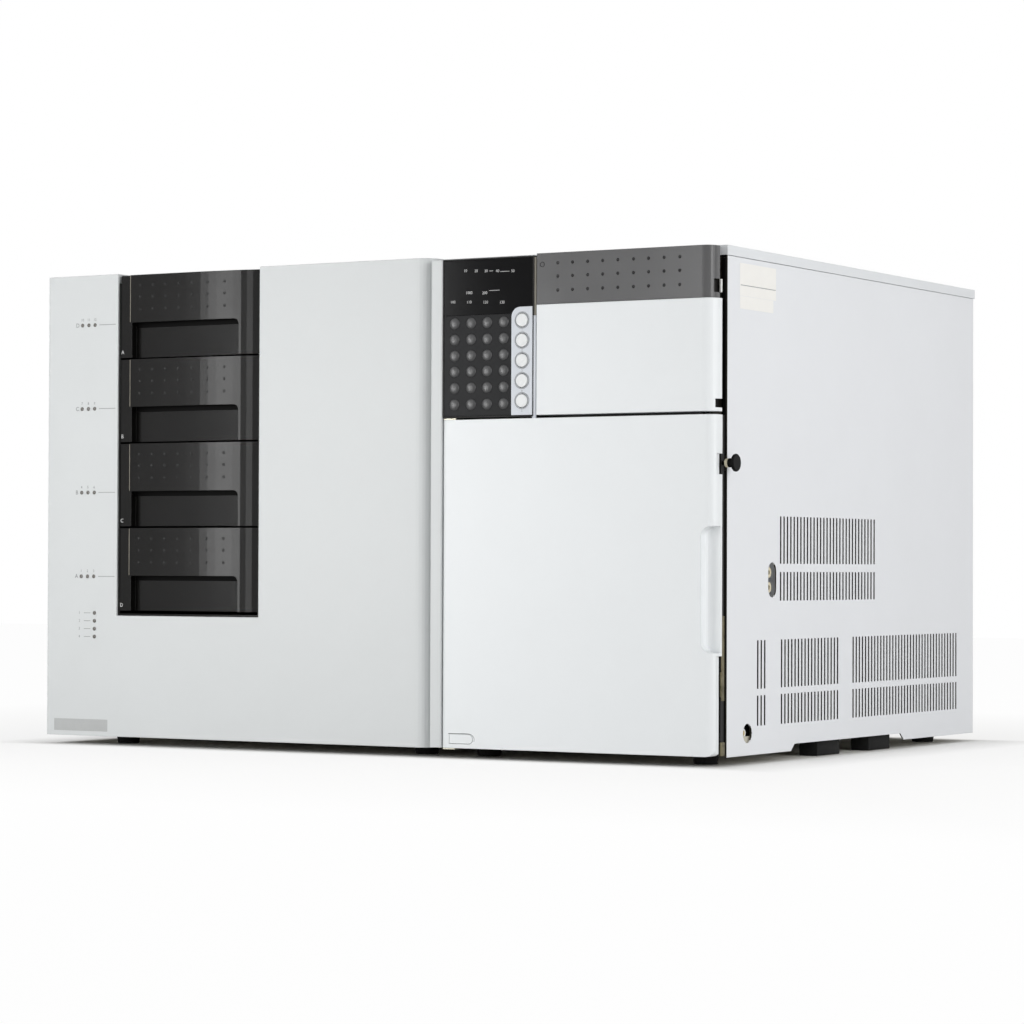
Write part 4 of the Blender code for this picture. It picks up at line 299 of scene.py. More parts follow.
# colours are linear, sizes and depths in millimetres
coatedLooks = {
    "panelCoat": dict(colour=(0.735, 0.75, 0.775), rough=0.42, grainSize=0.9, grainDepth=0.012, vary=0.012,
                      cloudSize=90),
    # the slotted panel carries painted shade on its slot walls
    "slottedCoat": dict(colour=(0.735, 0.75, 0.775), rough=0.42, grainSize=0.9, grainDepth=0.012, vary=0.012,
                        cloudSize=90, slotShadeTones=[(0.020, 0.017, 0.012), (0.075, 0.064, 0.046)]),
    "topCoat": dict(colour=(0.70, 0.72, 0.74), rough=0.42, grainSize=0.9, grainDepth=0.012, vary=0.012,
                    cloudSize=90),
    "whiteMoulding": dict(colour=(0.765, 0.789, 0.803), rough=0.38, grainSize=0.35, grainDepth=0.006, vary=0.01,
                          cloudSize=70, edge=0.8),
    "changerMoulding": dict(colour=(0.60, 0.62, 0.625), rough=0.40, grainSize=0.35, grainDepth=0.006,
                            vary=0.012, cloudSize=70, edge=1.0),
    "keyWhite": dict(colour=(0.72, 0.735, 0.74), rough=0.28, grainSize=0.3, grainDepth=0.003, vary=0.01,
                     cloudSize=20, edge=0.8, waveDepth=0.002),
    "stripWhite": dict(colour=(0.585, 0.615, 0.66), rough=0.36, grainSize=0.3, grainDepth=0.004, vary=0.012,
                       cloudSize=20),
    "smokeBand": dict(colour=(0.083, 0.083, 0.085), rough=0.24, grainSize=0.4, grainDepth=0.003, vary=0.04,
                      cloudSize=40, specular=0.4),
    "panelBlack": dict(colour=(0.0045, 0.0045, 0.005), rough=0.14, grainSize=0.6, grainDepth=0.001, vary=0.1,
                       cloudSize=30, specular=0.055, glossSpread=0.02),
    "keypadGrey": dict(colour=(0.0068, 0.0072, 0.008), rough=0.34, grainSize=0.25, grainDepth=0.004, vary=0.08,
                       cloudSize=14, specular=0.10),
    "keyDome": dict(colour=(0.009, 0.0095, 0.0105), rough=0.36, grainSize=0.5, grainDepth=0.0002, vary=0.06,
                    cloudSize=20, specular=0.85, glossSpread=0.01, edge=0.02, waveDepth=0.0003),
    "housingDark": dict(colour=(0.016, 0.0155, 0.015), rough=0.5, grainSize=0.4, grainDepth=0.01, vary=0.08,
                        cloudSize=30, specular=0.2),
    "drawerBlack": dict(colour=(0.0044, 0.0041, 0.0038), rough=0.20, grainSize=0.35, grainDepth=0.003, vary=0.08,
                        cloudSize=35, specular=0.17, glossSpread=0.03),
    "dotBlack": dict(colour=(0.004, 0.004, 0.004), rough=0.26, grainSize=0.3, grainDepth=0.001, vary=0.1,
                     cloudSize=10, specular=0.2, edge=0.05, waveDepth=0.001),
    "knobBlack": dict(colour=(0.003, 0.003, 0.003), rough=0.42, grainSize=0.3, grainDepth=0.004, vary=0.1,
                      cloudSize=10, specular=0.06, waveDepth=0.002),
    "shadeBlack": dict(colour=(0.0022, 0.0021, 0.0020), rough=0.55, grainSize=0.4, grainDepth=0.003, vary=0.1,
                       cloudSize=12, specular=0.05, waveDepth=0.002),
    "rubberBlack": dict(colour=(0.008, 0.008, 0.008), rough=0.75, grainSize=0.5, grainDepth=0.02, vary=0.1,
                        cloudSize=10, specular=0.2),
    "creamPlastic": dict(colour=(0.66, 0.60, 0.44), rough=0.4, grainSize=0.4, grainDepth=0.006, vary=0.04,
                         cloudSize=12),
    "linerGrey": dict(colour=(0.48, 0.49, 0.50), rough=0.5, grainSize=0.6, grainDepth=0.012, vary=0.03,
                      cloudSize=50),
    "labelPaper": dict(colour=(0.83, 0.82, 0.79), rough=0.55, grainSize=0.3, grainDepth=0.004, vary=0.012,
                       cloudSize=10, edge=0.1),
    "stickerGrey": dict(colour=(0.42, 0.43, 0.43), rough=0.45, grainSize=0.3, grainDepth=0.003, vary=0.03,
                        cloudSize=8, edge=0.1),
    "markWhite": dict(colour=(0.60, 0.60, 0.60), rough=0.5, grainSize=0.3, grainDepth=0.002, vary=0.04,
                      cloudSize=5, edge=0.05),
    "markGrey": dict(colour=(0.26, 0.27, 0.28), rough=0.5, grainSize=0.3, grainDepth=0.002, vary=0.05,
                     cloudSize=5, edge=0.05),
    "markDark": dict(colour=(0.010, 0.010, 0.011), rough=0.35, grainSize=0.3, grainDepth=0.002, vary=0.1,
                     cloudSize=5, specular=0.2, edge=0.05),
    "lampDark": dict(colour=(0.12, 0.113, 0.102), rough=0.22, grainSize=0.3, grainDepth=0.002, vary=0.05,
                     cloudSize=4, edge=0.2),
    "orangeRed": dict(colour=(0.42, 0.07, 0.03), rough=0.4, grainSize=0.3, grainDepth=0.002, vary=0.05,
                      cloudSize=4, edge=0.05),
    "gapBeige": dict(colour=(0.19, 0.175, 0.14), rough=0.5, grainSize=0.3, grainDepth=0.004, vary=0.06,
                     cloudSize=12),
    "whiteNylon": dict(colour=(0.86, 0.87, 0.85), rough=0.35, grainSize=0.3, grainDepth=0.003, vary=0.01,
                       cloudSize=8),
}
wireLooks = {
    "wireRed": (0.45, 0.04, 0.03),
    "wireYellow": (0.55, 0.36, 0.04),
    "wireBlue": (0.04, 0.10, 0.42),
    "wireWhite": (0.62, 0.62, 0.60),
    "wireGreen": (0.05, 0.26, 0.09),
    "wireOrange": (0.55, 0.18, 0.04),
}
for name, colour in wireLooks.items():
    coatedLooks[name] = dict(colour=colour, rough=0.35, grainSize=0.4, grainDepth=0.003, vary=0.04, cloudSize=10)
metalLooks = {
    "zincPlate": dict(rough=0.34, metal=0.85, grainSize=1.2, draw=(1, 1, 0.12), grainDepth=0.008, stainSize=28,
                      stains=[(0.3, (0.47, 0.45, 0.35)), (0.48, (0.53, 0.51, 0.42)), (0.62, (0.50, 0.47, 0.39)),
                              (0.78, (0.48, 0.49, 0.42))]),
    # yellow zinc for the brackets deep in the side gap, its tones darkened as painted shade
    "gapShadedZinc": dict(rough=0.42, metal=0.6, grainSize=1.0, draw=(1, 1, 0.12), grainDepth=0.008, stainSize=9,
                      stains=[(0.35, (0.11, 0.09, 0.045)), (0.5, (0.17, 0.15, 0.09)), (0.65, (0.08, 0.07, 0.035))]),
    "brass": dict(rough=0.3, metal=1, grainSize=0.5, draw=(1, 0.2, 1), grainDepth=0.002, stainSize=3,
                  stains=[(0.3, (0.50, 0.40, 0.20)), (0.7, (0.62, 0.50, 0.27))]),
    "sheetSteel": dict(rough=0.32, metal=0.95, grainSize=0.8, draw=(0.06, 1, 1), grainDepth=0.006, stainSize=45,
                       stains=[(0.3, (0.52, 0.53, 0.54)), (0.7, (0.62, 0.62, 0.62))]),
    "groundSteel": dict(rough=0.18, metal=1, grainSize=0.4, draw=(0.05, 1, 1), grainDepth=0.002, stainSize=30,
                        stains=[(0.3, (0.60, 0.61, 0.62)), (0.7, (0.68, 0.68, 0.69))]),
}
finishes = {name: coatedFinish(name, look) for name, look in coatedLooks.items()}
finishes.update({name: metalFinish(name, look) for name, look in metalLooks.items()})


def boardFinish():
    # solder resist over copper tracks
    look = dict(rough=0.35, coat=0.3)
    finish, tree, shader, place = startFinish("circuitBoard", look)
    tracks = tree.nodes.new("ShaderNodeTexBrick")
    tracks.inputs["Scale"].default_value = 160
    tracks.inputs["Mortar Size"].default_value = 0.06
    tracks.inputs["Color1"].default_value = (0.012, 0.09, 0.035, 1)
    tracks.inputs["Color2"].default_value = (0.018, 0.11, 0.045, 1)
    tracks.inputs["Mortar"].default_value = (0.05, 0.22, 0.09, 1)
    turn = tree.nodes.new("ShaderNodeMapping")
    turn.inputs["Rotation"].default_value = (math.radians(90), 0, 0)
    tree.links.new(place.outputs["Object"], turn.inputs["Vector"])
    tree.links.new(turn.outputs["Vector"], tracks.inputs["Vector"])
    tree.links.new(tracks.outputs["Color"], shader.inputs["Base Color"])
    addRelief(tree, shader, [(tracks.outputs["Fac"], 0.03)])
    return finish


finishes["circuitBoard"] = boardFinish()
print("finishes ready,", len(finishes))

# which finish each part of the frame wears
partFinish = {
    "panelCoat": ["module_left_panel", "rack_left_panel", "rack_right_panel"],
    "slottedCoat": ["module_right_panel"],
    "topCoat": ["module_top_cover", "rack_top_cover"],
    "whiteMoulding": ["lower_door", "upper_cover", "power_button"],
    "changerMoulding": ["rack_bezel", "left_trim"],
    "keyWhite": ["round_key_1", "round_key_2", "round_key_3", "round_key_4", "round_key_5"],
    "stripWhite": ["key_strip"],
    "smokeBand": ["cover_band"],
    "panelBlack": ["display_window"],
    "keypadGrey": ["keypad_membrane"],
    "housingDark": ["control_housing", "front_frame", "cover_hinge_lower", "cover_hinge_upper",
                    "metering_pump", "fan_frame", "fan_rotor"],
    "drawerBlack": ["drawer_front_a", "drawer_front_b", "drawer_front_c", "drawer_front_d", "drawer_bay"],
    "knobBlack": ["side_knob", "drain_port"],
    "creamPlastic": ["tube_fittings", "injection_port"],
    "linerGrey": ["sample_chamber", "door_liner"],
    "lampDark": ["indicator_board"],
    "zincPlate": ["module_chassis", "rack_chassis", "door_hinge_lower", "door_hinge_upper", "power_supply"],
    "sheetSteel": ["drawer_tray_a", "drawer_tray_b", "drawer_tray_c", "drawer_tray_d", "sample_rack",
                   "gantry_slide", "needle_carriage", "heat_sink", "injection_valve", "elevator_carriage",
                   "arm_shuttle", "transfer_arm"],
    "groundSteel": ["gantry_rail", "needle_head", "elevator_frame"],
    "circuitBoard": ["control_board"],
}
for finishName, names in partFinish.items():
    for name in names:
        for place in parts[name].material_slots:
            place.material = finishes[finishName]
print("parts dressed")

# the four drawers, and how far each lies below the top one in millimetres
drawerPitch = 72.75
drawerDrops = {letter: step * drawerPitch for step, letter in enumerate("abcd")}


def insetBy(width, rise):
    bpy.ops.mesh.inset(thickness=width / 1000, depth=rise / 1000)


# moulded dots of the drawers and the band
dimpleLook = dict(sides=14, rim=0.16, roll=0.12, dish=0.24, rimRise=0.12, rollRise=0.04, dishSink=0.10)
drawerDots = dict(columns=[-556.3, -542.9, -529.3, -515.5, -501.3, -485.4, -468.5], rows=[404.0, 394.0, 383.5],
                  radius=1.35)
bandDots = dict(columns=[-140.5, -127.0, -113.2, -99.5, -85.8, -71.7, -58.2, -44.4, -30.5],
                rows=[405.0, 394.3, 383.2], radius=1.4)


def dimple(radius):
    # a shallow dished dot with a rolled rim, lying on its surface
    look = dimpleLook
    pickNothing()
    bpy.ops.mesh.primitive_circle_add(vertices=look["sides"], radius=radius / 1000, fill_type="NGON")
    dot = bpy.context.object
    pickFaces(dot, lambda face: True)
    insetBy(radius * look["rim"], look["rimRise"])
    insetBy(radius * look["roll"], look["rollRise"])
    insetBy(radius * look["dish"], -look["dishSink"])
    bpy.ops.object.mode_set(mode="OBJECT")
    bpy.ops.object.shade_smooth()
    return dot


def dotField(name, part, body, look, drop=0):
    pattern = dimple(look["radius"])
    dots = []
    for up in look["rows"]:
        for across in look["columns"]:
            place, normal = touch(part, across, up - drop)
            if place:
                dots.append(copyAt(pattern, place, normal))
    bpy.data.objects.remove(pattern)
    dress(joinAs(name, dots), "dotBlack", body)


for letter, drop in drawerDrops.items():
    dotField("drawer_dots_" + letter, "drawer_front_" + letter, "drawer_" + letter, drawerDots, drop)
dotField("band_dots", "cover_band", "cover", bandDots)
print("moulded dots placed")

# printed letters, digits and lines
ink = dict(depth=0.08, curve=3, lineRound=0.02)


def letters(words, place, size, bold=0.0):
    # a word that stands a hair off the surface it faces
    pickNothing()
    bpy.ops.object.text_add(location=place)
    text = bpy.context.object
    text.data.body = words
    text.data.size = size / 1000
    text.data.extrude = ink["depth"] / 2000
    text.data.align_x = "CENTER"
    text.data.align_y = "CENTER"
    text.data.resolution_u = ink["curve"]
    text.data.offset = bold / 1000
    text.rotation_euler = (math.radians(90), 0, 0)
    bpy.ops.object.convert(target="MESH")
    return settle(bpy.context.object, 0)


def onFront(part, words, across, up, size, bold=0.0):
    place, normal = touch(part, across, up)
    return letters(words, place, size, bold)


def inkLine(part, left, right, up, wide):
    # a thin line between two places on a front surface
    place, normal = touch(part, (left + right) / 2, up)
    back = (place.y - frontY) * 1000
    return slab((left, back - ink["depth"], up - wide / 2), (right, back + ink["depth"], up + wide / 2),
                ink["lineRound"], 1)


def inkRing(part, across, up, radius, wire, away=0.0):
    # a ring as deep as the surface that lies a little to its right
    place, normal = touch(part, across + away, up)
    pickNothing()
    bpy.ops.mesh.primitive_torus_add(major_radius=radius / 1000, minor_radius=wire / 1000, major_segments=36,
                                     minor_segments=6, location=(spot(across, 0, up).x, place.y, place.z),
                                     rotation=(math.radians(90), 0, 0))
    return settle(bpy.context.object)


drawerLetters = dict(across=-577.0, up=346.6, size=4.6)
for letter, drop in drawerDrops.items():
    mark = onFront("drawer_front_" + letter, letter.upper(), drawerLetters["across"], drawerLetters["up"] - drop,
                   drawerLetters["size"])
    dress(joinAs("drawer_letter_" + letter, [mark]), "markWhite", "drawer_" + letter)

# the changer's lamp rows carry a letter, their tray numbers and a line to the drawer
lampRows = dict(letters="DCBA", ups=[371.3, 298.55, 225.8, 153.05], acrosses=[-619.7, -612.8, -606.0],
                letterAcross=-625.0, letterSize=5.0, digitShift=-0.2, digitRise=4.6, digitSize=3.2, bold=0.09,
                line=(-601.4, -583.5), lineWide=0.55)
statusLamps = dict(across=-605.0, ups=[121.3, 114.47, 107.64, 100.81], digitAcross=-621.5, digitSize=3.4,
                   line=(-616.5, -609.5), lineWide=0.5)
lampLens = dict(sides=20, radius=1.65, depth=0.6, rim=0.28, rimRise=0.22, crown=0.3, crownRise=0.1, aside=3.3)


def addLampLenses():
    # a low round lens over each lamp, as deep as the face beside it
    look = lampLens
    pickNothing()
    bpy.ops.mesh.primitive_cylinder_add(vertices=look["sides"], radius=look["radius"] / 1000,
                                        depth=look["depth"] / 1000)
    lens = bpy.context.object
    pickFaces(lens, lambda face: face.normal.z > 0.9)
    insetBy(look["radius"] * look["rim"], look["rimRise"])
    insetBy(look["radius"] * look["crown"], look["crownRise"])
    bpy.ops.object.mode_set(mode="OBJECT")
    bpy.ops.object.shade_smooth_by_angle(angle=math.radians(50))
    spots = [(across, up) for up in lampRows["ups"] for across in lampRows["acrosses"]]
    spots += [(statusLamps["across"], up) for up in statusLamps["ups"]]
    lenses = []
    for across, up in spots:
        place, normal = touch("rack_bezel", across + look["aside"], up)
        place.x = spot(across, 0, up).x
        lenses.append(copyAt(lens, place, Vector((0, -1, 0))))
    bpy.data.objects.remove(lens)
    dress(joinAs("lamp_lenses", lenses), "lampDark", "housing")


def addChangerMarks():
    rows, status, marks = lampRows, statusLamps, []
    for step, up in enumerate(rows["ups"]):
        marks.append(onFront("rack_bezel", rows["letters"][step], rows["letterAcross"], up, rows["letterSize"],
                             rows["bold"]))
        for number, across in enumerate(rows["acrosses"]):
            digit = str(10 - 3 * step + number)  # 1 to 12, counted from the lowest row
            marks.append(onFront("rack_bezel", digit, across + rows["digitShift"], up + rows["digitRise"],
                                 rows["digitSize"], rows["bold"] / 2))
        marks.append(inkLine("rack_bezel", *rows["line"], up, rows["lineWide"]))
    for number, up in enumerate(status["ups"]):
        marks.append(onFront("rack_bezel", str(number + 1), status["digitAcross"], up, status["digitSize"]))
        marks.append(inkLine("rack_bezel", *status["line"], up, status["lineWide"]))
    dress(joinAs("changer_marks", marks), "markGrey", "housing")


# plain numbers on the display and under the keys: words, place across, height
displayMarks = dict(
    numbers=[("10", -227.6, 402.2), ("20", -217.4, 401.7), ("30", -208.0, 401.3), ("40", -197.2, 400.9),
             ("50", -182.8, 400.3), ("1000", -224.0, 384.2), ("200", -209.2, 383.6), ("100", -239.4, 377.2),
             ("110", -224.0, 376.6), ("120", -208.4, 376.0), ("130", -192.8, 375.4)],
    size=3.2, lines=[(-204.8, -201.4, 401.2), (-194.6, -186.0, 400.3), (-205.0, -195.1, 385.4)], lineWide=0.35)
keyMarks = dict(across=-174.0, ups=[352.6, 336.2, 320.0, 303.4, 287.6], size=2.6)
keyRings = dict(across=-174.0, ups=[360.5, 344.3, 328.1, 311.9, 295.7], radius=6.6, wire=0.28, away=8.6)
bandMark = dict(across=-154.9, up=404.2, radius=1.9, wire=0.32)


def addPanelMarks():
    marks = [onFront("display_window", *item, displayMarks["size"]) for item in displayMarks["numbers"]]
    marks += [inkLine("display_window", *item, displayMarks["lineWide"]) for item in displayMarks["lines"]]
    dress(joinAs("display_marks", marks), "markWhite", "housing")
    captions = [onFront("key_strip", str(number + 1), keyMarks["across"], up, keyMarks["size"])
                for number, up in enumerate(keyMarks["ups"])]
    rings = [inkRing("key_strip", keyRings["across"], up, keyRings["radius"], keyRings["wire"], keyRings["away"])
             for up in keyRings["ups"]]
    dress(joinAs("key_captions", captions), "markGrey", "housing")
    dress(joinAs("key_rings", rings), "markGrey", "housing")
    mark = inkRing("cover_band", bandMark["across"], bandMark["up"], bandMark["radius"], bandMark["wire"])
    dress(joinAs("band_mark", [mark]), "markDark", "cover")


addLampLenses()
addChangerMarks()
addPanelMarks()
print("marks printed")

# domed keys under their film, and the red mark on the last one
domes = dict(columns=[-237.6, -221.9, -206.7, -191.2], rows=[359.5, 346.3, 333.2, 320.4, 307.1, 293.7], radius=4.6,
             height=1.6, sink=0.03, filmAway=7.8)
stopMark = ((-194.6, 1.1, 293.4), (-192.4, 1.6, 295.6), 0.2)


def addDomes():
    pickNothing()
    bpy.ops.mesh.primitive_uv_sphere_add(segments=28, ring_count=16, radius=domes["radius"] / 1000)
    dome = bpy.context.object
    bpy.ops.object.mode_set(mode="EDIT")
    bpy.ops.mesh.select_all(action="SELECT")
    bpy.ops.mesh.bisect(plane_co=(0, 0, 0), plane_no=(0, 0, 1), use_fill=True, clear_inner=True)
    bpy.ops.object.mode_set(mode="OBJECT")
    dome.scale = (1, 1, domes["height"] / domes["radius"])
    settle(dome, 60)
    copies = []
    for up in domes["rows"]:
        film, normal = touch("keypad_membrane", domes["columns"][0] + domes["filmAway"], up)
        for across in domes["columns"]:
            place = spot(across, 0, up)
            place.y = film.y + domes["sink"] / 1000
            copies.append(copyAt(dome, place, Vector((0, -1, 0))))
    bpy.data.objects.remove(dome)
    dress(joinAs("key_domes", copies), "keyDome", "housing")
    dress(joinAs("stop_mark", [slab(*stopMark)]), "orangeRed", "housing")


addDomes()
print("keys domed")

# strips on the drawers' hoods: along the left edge a brown line painted as the highlight where the bevel catches
# light, and under the hood a black strip painted as its shadow on the scoop
hoodStrips = {
    # painted highlight along the hood's left edge
    "hood_edge_highlight_": dict(left=-567.5, right=-566.75, low=372.4, top=412.6, proud=0.12, deep=0.6, round=0.1,
                       face=(-567.0, 402.6), finish="gapBeige", slot=None),
    # painted shadow under the hood's lower edge
    "hood_shadow_strip_": dict(left=-566.7, right=-455.6, low=367.8, top=372.4, proud=0.3, deep=0.1, round=0.15,
                      face=(-510.0, 360.4), finish="shadeBlack", slot="drawer_black"),
}


def addHoodStrips():
    for name, look in hoodStrips.items():
        faceAcross, faceUp = look["face"]
        for letter, drop in drawerDrops.items():
            place, normal = touch("drawer_front_" + letter, faceAcross, faceUp - drop)
            back = (place.y - frontY) * 1000
            strip = slab((look["left"], back - look["proud"], look["low"] - drop),
                         (look["right"], back + look["deep"], look["top"] - drop), look["round"])
            dress(joinAs(name + letter, [strip]), look["finish"], "drawer_" + letter)


def drum(radius, depth, middle, sides):
    # a cylinder that lies from left to right
    pickNothing()
    bpy.ops.mesh.primitive_cylinder_add(vertices=sides, radius=radius / 1000, depth=depth / 1000, location=middle,
                                        rotation=(0, math.radians(90), 0))
    return bpy.context.object


# black flange, pale rim and brass middle of the drain fitting, seen through the round hole
drainLook = dict(back=58.3, up=31.7, flange=12.5, flangeDepth=1.2, flangeSink=0.9, ring=3.0, wire=0.75, nut=2.1,
                 nutDepth=1.2, nutRise=0.1, bore=0.9, boreSink=0.3)


def addDrainFitting():
    look = drainLook
    face = (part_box("drain_port")[1].x - sideX) * 1000
    flange = drum(look["flange"], look["flangeDepth"], spot(face - look["flangeSink"], look["back"], look["up"]), 40)
    bevelled(settle(flange, 0), 0.4, 2)
    dress(joinAs("drain_flange", [flange]), "shadeBlack", "housing")
    pickNothing()
    bpy.ops.mesh.primitive_torus_add(major_radius=look["ring"] / 1000, minor_radius=look["wire"] / 1000,
                                     major_segments=32, minor_segments=10, rotation=(0, math.radians(90), 0),
                                     location=spot(face, look["back"], look["up"]))
    dress(joinAs("drain_ring", [settle(bpy.context.object)]), "whiteNylon", "housing")
    nut = drum(look["nut"], look["nutDepth"], spot(face + look["nutRise"], look["back"], look["up"]), 24)
    settle(nut, 0)
    pickFaces(nut, lambda side: side.normal.x > 0.9)
    insetBy(look["bore"], -look["boreSink"])
    bpy.ops.object.mode_set(mode="OBJECT")
    bevelled(nut, 0.15, 2)
    dress(joinAs("drain_nut", [nut]), "brass", "housing")


# plates and blocks: two corners, the rounding of the edges and its steps, then finish, body and slot
fittedBlocks = {
    "key_strip_edge": ([((-164.45, 1.0, 277.2), (-161.0, 2.4, 364.0), 0.2)], "stripWhite", "housing", None),
    "panel_gap_strip": ([((-162.85, 1.3, 364.0), (-161.0, 2.4, 410.8), 0.2)], "gapBeige", "housing", None),
    "hinge_bumper": ([((-5.2, 18.4, 377.4), (-3.4, 20.6, 387.9), 0.4)], "whiteNylon", "cover", None),
    # painted shade: a black strip that fills the gap beside the side panel's front edge, where shade falls
    "side_gap_shade_strip": ([((-4.4, 20.9, 16.2), (-0.75, 22.25, 238.0), 0.3),
                       ((-4.4, 20.9, 250.0), (-0.75, 22.25, 405.0), 0.3)], "shadeBlack", "housing", "dark_plastic"),
    # zinc brackets in the side gap, darkened as painted shade
    "side_gap_bracket": ([((-1.48, 15.3, 58.5), (-0.95, 20.4, 124.7), 0.15),
                          ((-1.88, 13.9, 61.7), (-0.3, 18.4, 81.1), 0.5),
                          ((-1.88, 13.9, 15.6), (-0.3, 20.6, 26.5), 0.8)], "gapShadedZinc", "housing", "zinc_plate"),
    "side_label": ([((0, 43.6, 376.6), (0.12, 106.9, 402.4), 0.05, 1),
                    ((0, 43.8, 366.4), (0.14, 102.2, 376.4), 0.05, 1)], "labelPaper", "housing", None),
    "side_label_rule": ([((0.1, 44.8, 384.7), (0.16, 106.2, 385.3), 0.02, 1)], "markGrey", "housing", None),
}
baseSticker = dict(left=-648.6, right=-590.4, low=18.8, top=29.1, proud=0.12, deep=0.02, faceUp=4)


def addFittedBlocks():
    for name, (blocks, finish, body, slot) in fittedBlocks.items():
        dress(joinAs(name, [slab(*block) for block in blocks]), finish, body)
    look = baseSticker
    place, normal = touch("rack_bezel", (look["left"] + look["right"]) / 2, look["low"] + look["faceUp"])
    back = (place.y - frontY) * 1000
    sticker = slab((look["left"], back - look["proud"], look["low"]),
                   (look["right"], back + look["deep"], look["top"]), 0.05, 1)
    dress(joinAs("base_sticker", [sticker]), "stickerGrey", "housing")


knobSleeve = dict(back=17.8, up=244.0, start=1.3, end=4.25, radius=3.45)


def addKnobSleeve():
    # the pale bush between the side panel and the knob
    look = knobSleeve
    middle = spot((look["start"] + look["end"]) / 2, look["back"], look["up"])
    sleeve = settle(drum(look["radius"], look["end"] - look["start"], middle, 32))
    bevelled(sleeve, 0.4, 3)
    dress(joinAs("knob_sleeve", [sleeve]), "creamPlastic", "knob")


addHoodStrips()
addDrainFitting()
addFittedBlocks()
addKnobSleeve()
print("front pieces fitted")


def bead(name, points, thick):
    # a thin tube along a smooth line through the points
    line = bpy.data.curves.new(name, "CURVE")
    line.dimensions = "3D"
    line.bevel_depth = thick / 2000
    line.bevel_resolution = 2
    line.use_fill_caps = True
    spline = line.splines.new("BEZIER")
    spline.bezier_points.add(len(points) - 1)
    for knot, place in zip(spline.bezier_points, points):
        knot.co = spot(*place)
        knot.handle_left_type = knot.handle_right_type = "AUTO"
    spline.resolution_u = 6
    piece = bpy.data.objects.new(name, line)
    bpy.context.collection.objects.link(piece)
    pickOnly(piece)
    bpy.ops.object.convert(target="MESH")
    return settle(bpy.context.object, 50)


# the shade in the groove of the power button, painted as a grey line along its top and round its right end
buttonGrooveShade = dict(back=0.28, thick=0.55, line=[(-241.9, 27.25), (-232.0, 27.3), (-222.0, 27.2), (-218.9, 26.0),
                                                 (-217.3, 23.6), (-217.4, 21.2)])
points = [(across, buttonGrooveShade["back"], up) for across, up in buttonGrooveShade["line"]]
dress(joinAs("power_groove_shade", [bead("power_groove_shade", points, buttonGrooveShade["thick"])]), "markGrey", "door")

# wiring behind the lower vents, held at both ends in the base
loom = dict(wire=1.5, inside=-5.2, step=1.1, swayBack=3.64, swayUp=3.96, lowest=24)
loomWires = ["wireRed", "wireYellow", "wireBlue", "wireWhite", "wireOrange", "wireGreen"]
loomRuns = [
    [(128, 24), (130, 60), (140, 78), (150, 92), (160, 84), (172, 66), (186, 54), (205, 50), (215, 24)],
    [(248, 24), (253, 72), (262, 104), (275, 96), (290, 80), (305, 66), (325, 60), (350, 54), (362, 24)],
]


def addWires():
    for order, name in enumerate(loomWires):
        strands = []
        for run in loomRuns:
            points = []
            for step, (back, up) in enumerate(run):
                back += loom["swayBack"] * math.sin(1.7 * order + 0.9 * step)
                up += loom["swayUp"] * math.cos(2.3 * order + 1.3 * step)
                points.append((loom["inside"] - loom["step"] * (order % 3), back, max(up, loom["lowest"])))
            strands.append(bead(name, points, loom["wire"]))
        dress(joinAs(name.replace("wire", "loom_").lower(), strands), name, "housing")


addWires()
print("wires laid")

# rubber feet and pads
footLook = dict(radius=10.9, sole=9.4, height=12.7, tread=3.0, grooveWide=0.4, grooveDeep=0.08, round=0.8,
                across=[-30.0, -230.0, -290.5, -600.5], backs=[45.0, 463.8])
padLook = dict(acrosses=[(-22.4, -5.6), (-254.4, -237.6)], backs=[(196.6, 239.9), (296.6, 339.9)], height=12.6,
               round=0.8)
footSink = 0.1  # how far feet and pads press into the floor


def addFeet():
    ground = -baseZ * 1000
    pickNothing()
    bpy.ops.mesh.primitive_cone_add(vertices=40, radius1=footLook["sole"] / 1000, radius2=footLook["radius"] / 1000,
                                    depth=footLook["height"] / 1000, location=(0, 0, footLook["height"] / 2000))
    foot = bpy.context.object
    settle(foot, 0)
    pickFaces(foot, lambda face: face.normal.z < -0.9)
    insetBy(footLook["tread"], 0)
    insetBy(footLook["grooveWide"], -footLook["grooveDeep"])
    bpy.ops.object.mode_set(mode="OBJECT")
    bevelled(foot, footLook["round"], 3)
    pickOnly(foot)
    bpy.ops.object.shade_smooth_by_angle(angle=math.radians(35))
    feet = []
    for across in footLook["across"]:
        for back in footLook["backs"]:
            place = spot(across, back, ground)
            place.z = -footSink / 1000
            feet.append(copyAt(foot, place))
    bpy.data.objects.remove(foot)
    dress(joinAs("rubber_feet", feet), "rubberBlack", "housing")
    pads = [slab((left, near, ground - footSink), (right, far, ground + padLook["height"]), padLook["round"])
            for left, right in padLook["acrosses"] for near, far in padLook["backs"]]
    dress(joinAs("rubber_pads", pads), "rubberBlack", "housing")


addFeet()
print("feet fitted")

# screws that hold the covers at the back: how far across, and their chassis
screwLook = dict(radius=2.9, head=1.5, socket=1.5, slope=0.2, sink=0.9, round=0.35)
screwColumns = {-252.0: "module_chassis", -8.0: "module_chassis", -650.0: "rack_chassis", -269.0: "rack_chassis"}
screwRows = [30.0, 200.0, 388.0]


